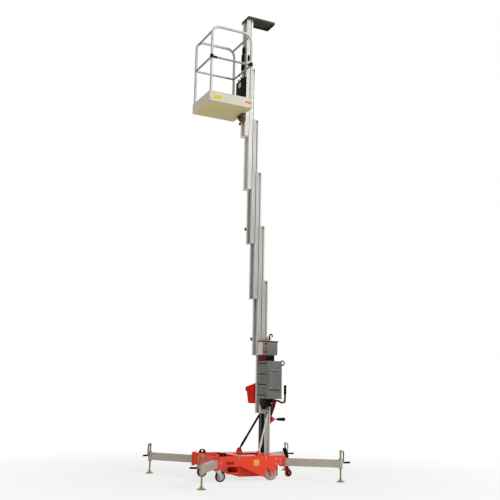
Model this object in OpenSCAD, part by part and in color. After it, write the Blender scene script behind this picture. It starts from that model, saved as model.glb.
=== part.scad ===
// Push-around vertical mast lift: a single-person platform on seven nested mast sections,
// a low steel chassis on four wheels, and four outriggers with screw jacks.
// X is across the machine (left side positive), -Y is the platform side, Z is up.
// The origin is on the floor, at the centre of the ground the machine covers.

/* [Mast] */
// Width of a mast extrusion
mast_w = 172; // [150:1:190]
// Thickness of an extrusion's side walls at the slot
mast_side_t = 11; // [8:1:14]
// Thickness of the lips beside the front slot
lip_t = 8; // [5:1:11]
// Thickness of the web behind the slot
web_t = 8; // [5:1:11]
// Thickness of the rear head that rides in the next section behind
head_d = 18; // [12:1:24]
// Width of the neck between the front box and the rear head
neck_w = 88; // [70:1:100]
// Wall of the hollow neck
neck_wall = 6; // [4:1:9]
// Gap between a rear head and the slot it rides in
head_play = 5; // [4:0.5:7]
// Step toward the platform from one section to the next
mast_pitch = 64; // [60:1:70]
// Length of one section
section_l = 1842; // [1700:1:1900]
// Height by which each section stands above the one behind it
section_rise = 789; // [700:1:900]
// Height of the first section's lower end
mast_base_z = 73; // [70:1:90]
// Front face of the first section
mast_front_y = 232; // [220:1:240]
// Thickness of the cap that closes the lower end of a section
end_cap_t = 8; // [6:1:8]
// Length of a slide pad
slide_pad_l = 110; // [80:1:140]
// Running clearance of slide pads, pins and bearings
run_gap = 0.3; // [0.25:0.05:0.4]

/* [Mast fittings] */
// Diameter of the round cable guides beside the mast
guide_d = 45; // [36:1:50]
// Length of a cable guide, out from the mast
guide_l = 38; // [30:1:42]
// Height of a cable guide above the lower end of its section
guide_z = 230; // [200:1:280]
// Width of the cover over the mast
head_cover_w = 235; // [220:1:260]
// Length of the cover over the mast
head_cover_l = 445; // [430:1:460]
// Thickness of the cover's sheet
head_cover_t = 5; // [3:1:8]
// Depth of the cover's turned-down lip
head_lip = 40; // [30:1:42]

/* [Platform] */
// Length of the platform, front to rear
deck_l = 664; // [600:1:700]
// Width of the platform
deck_w = 634; // [600:1:660]
// Height of the platform's underside above the lower end of its mast section
deck_rise = 325; // [300:1:340]
// Gap between the mast and the platform's rear edge
deck_gap = 12; // [12:1:24]
// Depth of the floor frame
floor_t = 34; // [28:1:44]
// Height of the toeboard, from the underside
toe_h = 145; // [120:1:160]
// Thickness of the toeboard sheet
toe_t = 4; // [3:1:6]
// Height of the top rail, from the underside
rail_h = 1152; // [1050:1:1200]
// Height of the middle rail, from the underside
mid_rail_h = 661; // [600:1:700]
// Diameter of the guardrail tube
rail_d = 38; // [32:1:42]
// Bend radius of the guardrail's corners
rail_bend = 120; // [90:1:150]
// Diameter of the entry bar
gate_d = 30; // [26:1:34]
// Length of the collars that slide on the posts
gate_collar_l = 60; // [40:1:80]

/* [Platform controls] */
// Width of the control console
console_w = 172; // [150:1:260]
// Depth of the control console
console_d = 88; // [80:1:130]
// Height of the control console
console_h = 349; // [280:1:380]
// Height of the console's lower edge above the underside of the platform
console_rise = 224; // [222:1:260]

/* [Chassis] */
// Overall width of the chassis
chassis_w = 700; // [680:1:720]
// Front end of the chassis
chassis_front = 600; // [580:1:620]
// Rear end of the chassis
chassis_rear = 420; // [410:1:440]
// Height of the chassis deck
deck_z = 320; // [312:1:330]
// Thickness of the chassis plates
plate_t = 8; // [6:1:10]
// Height of the side plates' lower edge at the front
side_low_z = 190; // [180:1:200]
// Width of the bay for a rear wheel, between the belly box and the side plate's outer face
wheel_bay = 90; // [84:1:100]
// Height of the belly box's floor
belly_z = 58; // [55:1:62]
// Half width of the well that the mast sinks into
well_half = 138; // [134:1:150]
// Length of the fork pocket's opening, along the chassis
fork_l = 150; // [140:1:155]
// Height of the fork pocket's opening
fork_h = 76; // [70:1:80]

/* [Outriggers] */
// Height of an outrigger beam
beam_h = 100; // [90:1:104]
// Thickness of an outrigger beam
beam_t = 56; // [50:1:60]
// Height of the beams' underside
beam_z = 184; // [180:1:188]
// Distance of the front jacks from the centre line
front_jack_x = 940; // [860:1:980]
// Distance of the front jacks ahead of the origin
front_jack_y = 1040; // [980:1:1080]
// Distance of the rear jacks from the centre line
rear_jack_x = 760; // [720:1:900]
// Diameter of a jack's foot
foot_d = 116; // [100:1:130]
// Diameter of a jack's screw
screw_d = 24; // [20:1:28]
// Height of the top of a jack
jack_h = 408; // [395:1:440]
// Length of a crank's folded arm
crank_arm_l = 176; // [160:1:185]
// Distance of the folded arm from the screw
crank_offset = 42; // [41:1:50]
// Length of a crank's grip
crank_grip_l = 107; // [90:1:120]
// Turn of the front cranks inward from straight ahead
crank_turn = 30; // [10:1:40]

/* [Wheels] */
// Diameter of the rear wheels
rear_wheel_d = 178; // [170:1:186]
// Width of the rear wheels
rear_wheel_w = 46; // [38:1:50]
// Distance of the rear axle behind the origin
rear_axle_y = 218; // [205:1:230]
// Diameter of the caster wheels
caster_d = 136; // [126:1:140]
// Width of the caster wheels
caster_w = 38; // [32:1:42]
// Distance of a caster's wheel behind its swivel
caster_trail = 42; // [36:1:46]
// Diameter of the rear guide wheel
guide_wheel_d = 98; // [90:1:104]
// Width of the rear guide wheel
guide_wheel_w = 34; // [28:1:38]
// Distance of the guide wheel's pivot behind the origin
guide_pivot_y = 640; // [630:1:660]

/* [Power unit and controls] */
// Width of the power unit's cover, out from the mast
cover_w = 280; // [240:1:300]
// Depth of the cover
cover_d = 235; // [220:1:240]
// Height of the cover
cover_h = 505; // [450:1:520]
// Height of the cover's lower edge
cover_z = 1060; // [1050:1:1070]
// Number of grooves across the cover's front
cover_grooves = 4; // [2:1:6]
// Width of the lower control box
box_w = 133; // [120:1:150]
// Height of the lower control box
box_h = 186; // [170:1:200]
// Width of the tool box on the other side
tool_w = 250; // [220:1:260]
// Height of the tool box
tool_h = 270; // [240:1:290]
// Height of the tool box's lower edge
tool_z = 990; // [970:1:1010]

/* [Handles and stays] */
// Half width over the push handles
handle_half = 300; // [290:1:320]
// Diameter of the push handle tube
handle_d = 28; // [24:1:32]
// Diameter of the push handle's grip
grip_d = 36; // [32:1:40]
// Height of the push handle's cross tube
handle_z = 1035; // [1030:1:1045]
// Length of a push handle's grip
grip_l = 134; // [120:1:160]
// Bend radius of the push handle's tube
handle_bend = 34; // [30:1:44]
// Diameter of the mast's stays
stay_d = 26; // [22:1:30]
// Height of the stays' upper ends
stay_top_z = 866; // [780:1:900]

/* [Hidden] */

round_fn = 48;
eps = 0.01;

// Mast, worked out from the slot and the head that rides in it
cavity_w = mast_w - 2 * mast_side_t;
head_w = cavity_w - 2 * head_play;
cavity_d = head_d + 2 * head_play;
box_d = lip_t + cavity_d + web_t;
neck_d = mast_pitch + lip_t + head_play - box_d;
slot_w = neck_w + 2 * head_play;
section_d = box_d + neck_d + head_d;
section_count = 7;
groove_w = 7;
groove_d = 3;

function section_y(k) = mast_front_y - mast_pitch * (k - 1);
function section_z(k) = mast_base_z + section_rise * (k - 1);
mast_rear_y = mast_front_y + section_d;
mast_top_z = section_z(section_count) + section_l;
side_x = mast_w / 2;

// Platform
deck_rear_y = section_y(section_count) - deck_gap;
deck_front_y = deck_rear_y - deck_l;
deck_low_z = section_z(section_count) + deck_rise;
post_inset = toe_t + rail_d / 2 + run_gap;
post_x = deck_w / 2 - post_inset;
post_front_y = deck_front_y + post_inset;
post_rear_y = deck_rear_y - post_inset;
top_rail_z = deck_low_z + rail_h - rail_d / 2;
mid_rail_z = deck_low_z + mid_rail_h;
cross_d = rail_d * 0.8;
gate_collar_r = rail_d / 2 + run_gap + 6;

// Jacks and beams
crank_reach = crank_offset + crank_grip_l;
grip_bar_d = 22;
// The rear cranks reach as far back as the front ones reach ahead
rear_jack_y = front_jack_y - crank_reach * (1 - cos(crank_turn))
              + grip_bar_d / 2 * sin(crank_turn);
socket_inset = 12;
front_root = [chassis_w / 2 - socket_inset, -(chassis_front - 22)];
rear_root = [chassis_w / 2 - socket_inset, chassis_rear - 6];
front_jack = [front_jack_x, -front_jack_y];
rear_jack = [rear_jack_x, rear_jack_y];
// How far a beam reaches inward of its root, and the socket inward and outward of it
front_inset = 20;
rear_inset = 60;
front_socket = [-46, 59];
rear_socket = [-70, 14];
socket_wall = 7;
flange_h = 180;
flange_t = 10;

// Places on the chassis, worked out from its front, its width and the mast
belly_w = chassis_w - 2 * wheel_bay;
belly_front_y = section_y(section_count) - 63;
rear_wheel_x = (belly_w + chassis_w) / 4 - plate_t / 2;
arch_r = rear_wheel_d / 2 + 12;
caster_x = chassis_w / 2 - 46;
caster_y = chassis_front - 44;
tie_y = -chassis_front + 100;
cross_y = -chassis_front + 130;
fork_y = -chassis_front + 160;
stay_x = chassis_w / 2 - 50;

// Clevis ears on the deck that hold the stays' lower pins
stay_y = 40;
stay_pin_rise = 38;
ear_gap = 22;
ear_t = 8;

// Clearance between the mast and what is bolted beside it
side_gap = 14;
unit_x = side_x + side_gap;
unit_front_y = mast_rear_y + 12 - cover_d;

module rod(from, to, d) {
    run = to - from;
    length = norm(run);
    translate(from)
        rotate([0, acos(run[2] / length), atan2(run[1], run[0])])
            cylinder(d = d, h = length, $fn = round_fn);
}

module rounded_box(size, r) {
    translate([r, r, 0])
        linear_extrude(size[2])
            offset(r = r, $fn = 24)
                square([size[0] - 2 * r, size[1] - 2 * r]);
}

// One quarter of a bent tube, from +X round to +Y about the corner's centre
module elbow(bend, d, turn = 90) {
    rotate_extrude(angle = turn, $fn = 64)
        translate([bend, 0])
            circle(d = d, $fn = 24);
}

// Plan view of one mast section, with its front face on y = 0
module mast_profile() {
    difference() {
        union() {
            translate([-side_x, 0])
                square([mast_w, box_d]);
            translate([-neck_w / 2, box_d - eps])
                square([neck_w, neck_d + 2 * eps]);
            translate([-head_w / 2, box_d + neck_d])
                square([head_w, head_d]);
        }
        translate([-slot_w / 2, -1])
            square([slot_w, lip_t + 2]);
        translate([-cavity_w / 2, lip_t])
            square([cavity_w, cavity_d]);
        translate([-neck_w / 2 + neck_wall, box_d])
            square([neck_w - 2 * neck_wall, neck_d]);
        for (side = [-1, 1], y = [box_d * 0.3, box_d * 0.7])
            translate([side * side_x, y])
                square([2 * groove_d, groove_w], center = true);
    }
}

// Slide pad on the rear head, filling the slot of the section behind
module head_pad() {
    pad_w = cavity_w - 2 * run_gap;
    pad_d = cavity_d - 2 * run_gap;
    translate([-pad_w / 2, box_d + neck_d - head_play + run_gap, end_cap_t])
        cube([pad_w, pad_d, slide_pad_l]);
}

// Slide pads in the top of the slot, round the head of the section in front
module slot_pads() {
    rim = head_play - run_gap;
    z = section_l - slide_pad_l;
    for (side = [-1, 1]) {
        translate([side * (cavity_w / 2 - rim / 2) - rim / 2, lip_t, z])
            cube([rim, cavity_d, slide_pad_l]);
        translate([side * (cavity_w + slot_w) / 4 - (cavity_w - slot_w) / 4, lip_t, z])
            cube([(cavity_w - slot_w) / 2, rim, slide_pad_l]);
    }
    translate([-cavity_w / 2, lip_t + cavity_d - rim, z])
        cube([cavity_w, rim, slide_pad_l]);
}

module cable_guide() {
    translate([-side_x + eps, guide_d / 2 - 14, guide_z])
        rotate([0, -90, 0]) {
            cylinder(d = guide_d * 0.7, h = guide_l, $fn = round_fn);
            translate([0, 0, guide_l * 0.55])
                cylinder(d = guide_d, h = guide_l * 0.45, $fn = round_fn);
        }
}

module mast_section(k) {
    translate([0, section_y(k), section_z(k)]) {
        color("gainsboro") {
            linear_extrude(section_l)
                mast_profile();
            translate([-side_x, 0, 0])
                cube([mast_w, box_d, end_cap_t]);
        }
        if (k > 1)
            color("dimgray") head_pad();
        if (k < section_count)
            color("dimgray") slot_pads();
        if (k % 2 == 1 && k > 1)
            color("black") cable_guide();
    }
}

module mast_section_1() { mast_section(1); }
module mast_section_2() { mast_section(2); }
module mast_section_3() { mast_section(3); }
module mast_section_4() { mast_section(4); }
module mast_section_5() { mast_section(5); }
module mast_section_6() { mast_section(6); }
module mast_section_7() { mast_section(7); }

module mast_head_cover() {
    front_y = section_y(section_count) - 6;
    color([0.26, 0.26, 0.24])
        translate([-head_cover_w / 2, front_y, mast_top_z])
            difference() {
                translate([0, 0, head_cover_t - head_lip])
                    cube([head_cover_w, head_cover_l, head_lip]);
                translate([head_cover_t, head_cover_t, -head_lip])
                    cube([head_cover_w - 2 * head_cover_t, head_cover_l - 2 * head_cover_t,
                          head_lip]);
            }
}

// Side plate outline in Y and Z, with the drop to the axle at its rear
module side_plate_outline() {
    ear_r = 27;
    ear_root = 80;
    skirt_z = 40;
    slot_l = 115;
    axle_z = rear_wheel_d / 2;
    difference() {
        union() {
            difference() {
                polygon([[-chassis_front, deck_z], [-chassis_front, side_low_z],
                         [belly_front_y - 30, side_low_z], [rear_axle_y - arch_r, skirt_z],
                         [rear_axle_y, skirt_z], [rear_axle_y + ear_root, side_low_z + 8],
                         [chassis_rear, side_low_z + 8], [chassis_rear, deck_z]]);
                translate([rear_axle_y, axle_z])
                    circle(r = arch_r, $fn = round_fn);
            }
            polygon([[rear_axle_y - ear_root, deck_z - ear_root],
                     [rear_axle_y - ear_r, axle_z], [rear_axle_y + ear_r, axle_z],
                     [rear_axle_y + ear_root, deck_z - ear_root]]);
            translate([rear_axle_y, axle_z])
                circle(r = ear_r, $fn = round_fn);
        }
        translate([fork_y - 12, side_low_z + 25])
            square([slot_l, 40]);
    }
}

// Belly box outline in Y and Z
module belly_outline(inset) {
    top_z = deck_z - plate_t / 2 - inset / 2;
    rear_y = mast_rear_y + 24 - inset;
    polygon([[belly_front_y + inset, top_z], [belly_front_y + inset, belly_z + inset],
             [rear_y, belly_z + inset], [rear_y, top_z]]);
}

module along_x(width) {
    translate([-width / 2, 0, 0])
        rotate([90, 0, 90])
            linear_extrude(width)
                children();
}

// Socket round a beam's root, from reach[0] inward of it to reach[1] outward
module socket(root, tip, reach) {
    turn = atan2(tip[1] - root[1], tip[0] - root[0]);
    translate([root[0], root[1], beam_z - socket_wall])
        rotate([0, 0, turn])
            translate([reach[0], -beam_t / 2 - socket_wall, 0])
                cube([reach[1] - reach[0], beam_t + 2 * socket_wall,
                      beam_h + 2 * socket_wall]);
}

// Tall plate with rounded corners round the mouth of a front socket
module socket_flange(root, tip) {
    corner_r = 16;
    flat = [beam_t + 4 * socket_wall - 2 * corner_r, flange_h - 2 * corner_r];
    translate([root[0], root[1], beam_z + beam_h / 2 + 4])
        rotate([0, 0, atan2(tip[1] - root[1], tip[0] - root[0])])
            translate([front_socket[1] - flange_t, 0, 0])
                rotate([90, 0, 90])
                    linear_extrude(flange_t)
                        offset(r = corner_r, $fn = 32)
                            square(flat, center = true);
}

module stay_ear(side) {
    translate([side * stay_x, stay_y, deck_z])
        for (x = [-ear_gap - ear_t, ear_gap])
            translate([x, 0, 0])
                rotate([90, 0, 90])
                    linear_extrude(ear_t)
                        difference() {
                            union() {
                                translate([0, stay_pin_rise])
                                    circle(r = 20, $fn = round_fn);
                                polygon([[-36, -4], [36, -4], [36, 6], [17, 40], [-17, 40],
                                         [-36, 6]]);
                            }
                            translate([0, stay_pin_rise])
                                circle(d = 12, $fn = round_fn);
                        }
}

// The channel that an outrigger beam fills, cut through the plates at a corner
module beam_channel(root, tip, inset) {
    translate([root[0], root[1], beam_z])
        rotate([0, 0, atan2(tip[1] - root[1], tip[0] - root[0])])
            translate([-inset - 4, -beam_t / 2, 0])
                cube([inset + 180, beam_t, beam_h]);
}

module cross_plate(y, low_z) {
    translate([-chassis_w / 2 + plate_t / 2, y, low_z])
        cube([chassis_w - plate_t, plate_t, deck_z - low_z]);
}

module chassis_body() {
    half = chassis_w / 2;
    for (side = [-1, 1])
        translate([side * (half - plate_t / 2), 0, 0])
            along_x(plate_t)
                side_plate_outline();
    difference() {
        union() {
            translate([-half + plate_t / 2, belly_front_y - 50, deck_z - plate_t])
                cube([chassis_w - plate_t, chassis_rear - belly_front_y + 50, plate_t]);
            along_x(belly_w)
                belly_outline(0);
        }
        along_x(belly_w - 2 * plate_t)
            belly_outline(plate_t);
        translate([-well_half, belly_front_y + 37, mast_base_z])
            cube([2 * well_half, mast_rear_y - belly_front_y - 25, deck_z]);
    }
    translate([-120, mast_front_y - 12, belly_z + plate_t / 2])
        cube([240, section_d + 24, mast_base_z - belly_z - plate_t / 2]);
    cross_plate(-chassis_front, side_low_z + 10);
    cross_plate(cross_y - plate_t, side_low_z + 10);
    cross_plate(chassis_rear - plate_t, side_low_z + 8);
    fork_pocket();
    for (side = [-1, 1]) {
        caster_seat(side);
        stay_ear(side);
        mirror([side < 0 ? 1 : 0, 0, 0]) {
            socket(front_root, front_jack, front_socket);
            socket_flange(front_root, front_jack);
            socket(rear_root, rear_jack, rear_socket);
        }
    }
    guide_tongue();
    rear_axle();
}

module chassis() {
    color([0.94, 0.29, 0.17])
        difference() {
            chassis_body();
            for (side = [-1, 1]) {
                mirror([side < 0 ? 1 : 0, 0, 0]) {
                    beam_channel(front_root, front_jack, front_inset);
                    beam_channel(rear_root, rear_jack, rear_inset);
                }
                translate([side * caster_x, -caster_y, caster_top_z - 1])
                    cylinder(d = caster_pin_d + 2 * run_gap, h = 30, $fn = round_fn);
            }
        }
}

module fork_pocket() {
    translate([-chassis_w / 2 + plate_t / 2, fork_y, side_low_z - fork_h - plate_t])
        difference() {
            cube([chassis_w - plate_t, fork_l + 2 * plate_t, fork_h + 2 * plate_t]);
            translate([-1, plate_t, plate_t])
                cube([chassis_w, fork_l, fork_h]);
        }
}

caster_top_z = 162;
caster_pin_d = 20;

module caster_seat(side) {
    translate([side * caster_x, -caster_y, caster_top_z])
        translate([-45, -43, 0])
            cube([90, 90, side_low_z + 16 - caster_top_z]);
}

tongue_z = 196;
tongue_h = 44;
pivot_d = 22;

module guide_tongue() {
    difference() {
        union() {
            translate([-28, chassis_rear - plate_t, tongue_z])
                cube([56, guide_pivot_y - chassis_rear + plate_t, tongue_h]);
            translate([0, guide_pivot_y, tongue_z])
                cylinder(r = 32, h = tongue_h, $fn = round_fn);
        }
        translate([0, guide_pivot_y, tongue_z - 1])
            cylinder(d = pivot_d + 2 * run_gap, h = tongue_h + 2, $fn = round_fn);
    }
}

axle_d = 24;

// Stub axles between the belly box and the side plates
module rear_axle() {
    for (side = [-1, 1])
        rod([side * (belly_w / 2 - 6), rear_axle_y, rear_wheel_d / 2],
            [side * (chassis_w / 2 + 6), rear_axle_y, rear_wheel_d / 2], axle_d);
}

module stay(side) {
    color(side > 0 ? [0.7, 0.7, 0.68] : [0.08, 0.08, 0.08]) {
        low = [side * stay_x, stay_y, deck_z + stay_pin_rise];
        high = [side * (side_x + 20), mast_front_y + 36, stay_top_z];
        pin = [ear_gap - run_gap, 0, 0];
        rod(low, high, stay_d * 0.9);
        rod(low - pin, low + pin, stay_d);
        rod([side * side_x, high[1], high[2]], [side * (side_x + 34), high[1], high[2]], 30);
    }
}

module stay_left() { stay(1); }
module stay_right() { stay(-1); }

module outrigger(root, tip, inset) {
    run = tip - root;
    length = norm(run);
    turn = atan2(run[1], run[0]);
    color([0.70, 0.67, 0.62])
        translate([root[0], root[1], 0])
            rotate([0, 0, turn])
                difference() {
                    union() {
                        translate([-inset, -beam_t / 2 + run_gap, beam_z + run_gap])
                            cube([length + inset, beam_t - 2 * run_gap, beam_h - 2 * run_gap]);
                        translate([length, 0, beam_z - 6])
                            cylinder(d = beam_t, h = beam_h + 12, $fn = round_fn);
                    }
                    translate([-inset - 1, -beam_t / 2 + 5, beam_z + 5])
                        cube([length + inset - 34, beam_t - 10, beam_h - 10]);
                    translate([length, 0, beam_z - 20])
                        cylinder(d = screw_d + 2 * run_gap, h = beam_h + 40, $fn = round_fn);
                }
}

module mirrored() {
    mirror([1, 0, 0]) children();
}

module outrigger_front_left() { outrigger(front_root, front_jack, front_inset); }
module outrigger_front_right() { mirrored() outrigger(front_root, front_jack, front_inset); }
module outrigger_rear_left() { outrigger(rear_root, rear_jack, rear_inset); }
module outrigger_rear_right() { mirrored() outrigger(rear_root, rear_jack, rear_inset); }

// Screw jack at a beam's tip, its folded crank turned from straight outward along Y
module jack(tip, turn) {
    cap_z = jack_h - 30;
    arm_low_z = jack_h - crank_arm_l;
    color([0.55, 0.54, 0.40])
        translate([tip[0], tip[1], 0]) {
            rotate_extrude($fn = round_fn)
                polygon([[0, 0], [foot_d / 2, 0], [foot_d / 2, 6], [foot_d / 2 - 6, 9],
                         [30, 16], [22, 34], [0, 34]]);
            cylinder(d = screw_d, h = jack_h - 6, $fn = round_fn);
            translate([0, 0, cap_z])
                cylinder(d = 38, h = 22, $fn = round_fn);
            rotate([0, 0, turn]) {
                translate([-15, 0, jack_h - 12])
                    cube([30, crank_offset + 5, 10]);
                translate([-15, crank_offset - 3, arm_low_z])
                    cube([30, 8, crank_arm_l]);
                translate([0, crank_offset, arm_low_z + 14])
                    rotate([-90, 0, 0])
                        cylinder(d = grip_bar_d, h = crank_grip_l, $fn = round_fn);
            }
        }
}

module jack_front_left() { jack(front_jack, 180 - crank_turn); }
module jack_front_right() { mirrored() jack(front_jack, 180 - crank_turn); }
module jack_rear_left() { jack(rear_jack, 0); }
module jack_rear_right() { mirrored() jack(rear_jack, 0); }

// Wheel about the X axis: tyre, rim and hub in one turned solid
module wheel(d, width, bore) {
    r = d / 2;
    rotate([0, 90, 0])
        rotate_extrude($fn = 72)
            polygon([[bore / 2, -width / 2], [r * 0.32, -width / 2], [r * 0.36, -width * 0.22],
                     [r * 0.64, -width * 0.22], [r * 0.68, -width * 0.44],
                     [r * 0.9, -width / 2], [r, -width * 0.3], [r, width * 0.3],
                     [r * 0.9, width / 2], [r * 0.68, width * 0.44],
                     [r * 0.64, width * 0.22], [r * 0.36, width * 0.22],
                     [r * 0.32, width / 2], [bore / 2, width / 2]]);
}

module rear_wheel(side) {
    color([0.75, 0.71, 0.70])
        translate([side * rear_wheel_x, rear_axle_y, rear_wheel_d / 2])
            wheel(rear_wheel_d, rear_wheel_w, axle_d + 2 * run_gap);
}

module rear_wheel_left() { rear_wheel(1); }
module rear_wheel_right() { rear_wheel(-1); }

caster_axle_d = 12;

module caster_fork(side) {
    fork_in = caster_w / 2 + 4;
    crown_z = caster_top_z - 12;
    axle_y = -caster_y + caster_trail;
    color([0.72, 0.72, 0.70])
        translate([side * caster_x, 0, 0]) {
            translate([0, -caster_y, crown_z])
                cylinder(r = 36, h = caster_top_z - crown_z - run_gap, $fn = round_fn);
            translate([0, -caster_y, crown_z])
                cylinder(d = caster_pin_d, h = 26, $fn = round_fn);
            translate([-fork_in - 4, -caster_y - 24, crown_z - 5])
                cube([2 * fork_in + 8, 66, 6]);
            for (x = [-fork_in - 4, fork_in])
                translate([x, 0, 0])
                    rotate([90, 0, 90])
                        linear_extrude(4)
                            polygon([[-caster_y - 24, crown_z], [axle_y - 13, caster_d / 2 - 8],
                                     [axle_y - 8, caster_d / 2 - 15],
                                     [axle_y + 8, caster_d / 2 - 15],
                                     [axle_y + 13, caster_d / 2 - 8], [-caster_y + 42, crown_z]]);
            rod([-fork_in - 8, axle_y, caster_d / 2], [fork_in + 8, axle_y, caster_d / 2],
                caster_axle_d);
        }
}

module caster_fork_left() { caster_fork(1); }
module caster_fork_right() { caster_fork(-1); }

module caster_wheel(side) {
    color([0.15, 0.15, 0.15])
        translate([side * caster_x, -caster_y + caster_trail, caster_d / 2])
            wheel(caster_d, caster_w, caster_axle_d + 2 * run_gap);
}

module caster_wheel_left() { caster_wheel(1); }
module caster_wheel_right() { caster_wheel(-1); }

guide_trail = 20;
guide_axle_d = 10;

module guide_fork() {
    fork_in = guide_wheel_w / 2 + 4;
    crown_z = guide_wheel_d + 10;
    axle_y = guide_pivot_y + guide_trail;
    color([0.55, 0.10, 0.10]) {
        translate([0, guide_pivot_y, crown_z])
            cylinder(d = pivot_d, h = tongue_z + tongue_h + 12 - crown_z, $fn = round_fn);
        translate([0, guide_pivot_y, crown_z])
            cylinder(d = 44, h = tongue_z - crown_z - run_gap, $fn = round_fn);
        translate([-fork_in - 5, guide_pivot_y - 20, crown_z - 5])
            cube([2 * fork_in + 10, 52, 8]);
        for (x = [-fork_in - 5, fork_in])
            translate([x, 0, 0])
                rotate([90, 0, 90])
                    linear_extrude(5)
                        polygon([[guide_pivot_y - 20, crown_z],
                                 [axle_y - 12, guide_wheel_d / 2 - 12],
                                 [axle_y + 12, guide_wheel_d / 2 - 12],
                                 [guide_pivot_y + 32, crown_z]]);
        rod([-fork_in - 8, axle_y, guide_wheel_d / 2], [fork_in + 8, axle_y, guide_wheel_d / 2],
            guide_axle_d);
    }
}

module guide_grip() {
    low = [0, guide_pivot_y, tongue_z + tongue_h + 12];
    color("black") {
        translate(low)
            cylinder(d = 30, h = 12, $fn = round_fn);
        rod(low + [0, 0, 8], low + [0, -6, 26], 26);
        rod(low + [0, -4, 18], low + [0, -46, 126], 40);
    }
}

module guide_wheel() {
    color([0.35, 0.10, 0.10])
        translate([0, guide_pivot_y + guide_trail, guide_wheel_d / 2])
            wheel(guide_wheel_d, guide_wheel_w, guide_axle_d + 2 * run_gap);
}

// Grey moulded cover of the power unit, with grooves across its front and a raised panel
module power_cover() {
    low_groove = 42;
    groove_step = (cover_h - 2 * low_groove) / (cover_grooves - 1);
    panel_r = 14;
    color([0.42, 0.44, 0.42]) {
        difference() {
            translate([unit_x, unit_front_y, cover_z])
                rounded_box([cover_w, cover_d, cover_h], 18);
            for (i = [0:cover_grooves - 1])
                translate([unit_x - 1, unit_front_y - 1, cover_z + low_groove + i * groove_step])
                    cube([cover_w - 30, 8, 10]);
        }
        translate([unit_x + cover_w - eps, unit_front_y + cover_d / 2, cover_z + cover_h / 2])
            rotate([90, 0, 90])
                linear_extrude(8)
                    offset(r = panel_r, $fn = 32)
                        square([cover_d - 60 - 2 * panel_r, cover_h * 0.52 - 2 * panel_r],
                               center = true);
    }
}

module pump_unit() {
    color([0.10, 0.10, 0.10]) {
        translate([unit_x, unit_front_y + 30, cover_z - 110])
            cube([190, cover_d - 60, 110]);
        for (z = [cover_z - 60, cover_z + 60, cover_z + 330])
            translate([side_x, mast_front_y + 8, z])
                cube([side_gap, 40, 50]);
    }
}

module relay_block() {
    color([0.24, 0.05, 0.05])
        translate([unit_x, unit_front_y + 8, cover_z + cover_h])
            cube([box_w - 8, cover_d - 50, box_z - cover_z - cover_h]);
}

box_z = 1650;

module control_box() {
    color([0.62, 0.61, 0.58]) {
        translate([unit_x, unit_front_y, box_z])
            cube([box_w, cover_d, box_h]);
        translate([side_x, mast_front_y + 8, box_z + 60])
            cube([side_gap + 2, 40, 60]);
    }
    color([0.6, 0.08, 0.08])
        translate([unit_x - 6, unit_front_y - 8, box_z + box_h - eps])
            cube([box_w + 14, cover_d + 14, 5]);
}

// Tapered tool box with an overhanging lid, on the right side of the mast
module tool_box() {
    inner = -(side_x + side_gap);
    lid_h = 26;
    color([0.80, 0.12, 0.08]) {
        translate([0, mast_front_y - 82, 0])
            rotate([90, 0, 0])
                mirror([0, 0, 1])
                    linear_extrude(190)
                        polygon([[inner, tool_z], [inner, tool_z + tool_h - lid_h],
                                 [inner - tool_w + 12, tool_z + tool_h - lid_h - 30],
                                 [inner - tool_w + 80, tool_z]]);
        translate([0, mast_front_y - 88, 0])
            rotate([90, 0, 0])
                mirror([0, 0, 1])
                    linear_extrude(202)
                        polygon([[inner, tool_z + tool_h - lid_h],
                                 [inner, tool_z + tool_h],
                                 [inner - tool_w, tool_z + tool_h - 44],
                                 [inner - tool_w, tool_z + tool_h - 44 - lid_h],
                                 [inner - tool_w + 12, tool_z + tool_h - lid_h - 32]]);
        translate([inner - eps, mast_front_y + 8, tool_z + 60])
            cube([side_gap + eps, 40, 120]);
    }
}

// Distance of the push handle's cross tube behind the mast
handle_stand = 34;

// Cross tube behind the mast with a J-shaped grip at each end
module push_handle() {
    back_y = mast_rear_y + handle_stand;
    bend = handle_bend;
    grip_rise = 78;
    color([0.45, 0.08, 0.08]) {
        rod([-handle_half, back_y, handle_z], [handle_half, back_y, handle_z], handle_d);
        for (side = [-1, 1]) {
            translate([side * handle_half, back_y, handle_z])
                sphere(d = handle_d, $fn = 32);
            translate([side * handle_half, back_y + bend, handle_z])
                rotate([0, 90, 0])
                    rotate([0, 0, -90])
                        elbow(bend, handle_d, 180);
            rod([side * handle_half, back_y + 2 * bend, handle_z],
                [side * handle_half, back_y + 2 * bend, handle_z + grip_rise + 4], handle_d);
            rod([side * handle_half, back_y + 2 * bend, handle_z + grip_rise],
                [side * handle_half, back_y + 2 * bend, handle_z + grip_rise + grip_l], grip_d);
        }
    }
}

// Gusset that carries the push handle on the rear of the mast
module handle_bracket() {
    back_y = mast_rear_y + handle_stand;
    color([0.45, 0.08, 0.08])
        for (side = [-1, 1])
            translate([side * 48 - 4, 0, 0])
                rotate([90, 0, 90])
                    linear_extrude(8)
                        difference() {
                            polygon([[mast_rear_y, handle_z - 330], [mast_rear_y, handle_z + 60],
                                     [mast_rear_y + 16, handle_z + 60],
                                     [back_y + handle_d, handle_z + 20],
                                     [back_y + handle_d, handle_z - 20],
                                     [mast_rear_y + 22, handle_z - 330]]);
                            translate([back_y, handle_z])
                                circle(d = handle_d + 2 * run_gap, $fn = round_fn);
                        }
}

module brake_lever() {
    z = 780;
    x = side_x - 30;
    color([0.8, 0.10, 0.08]) {
        translate([x, 0, z])
            rotate([90, 0, 90])
                linear_extrude(12)
                    polygon([[mast_rear_y, -58], [mast_rear_y, 58], [mast_rear_y + 70, 12],
                             [mast_rear_y + 70, -12]]);
        rod([x + 6, mast_rear_y + 60, z], [x + 6, mast_rear_y + 130, z], 14);
        rod([x + 6, mast_rear_y + 120, z], [x + 6, mast_rear_y + 215, z], 32);
    }
}

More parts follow.
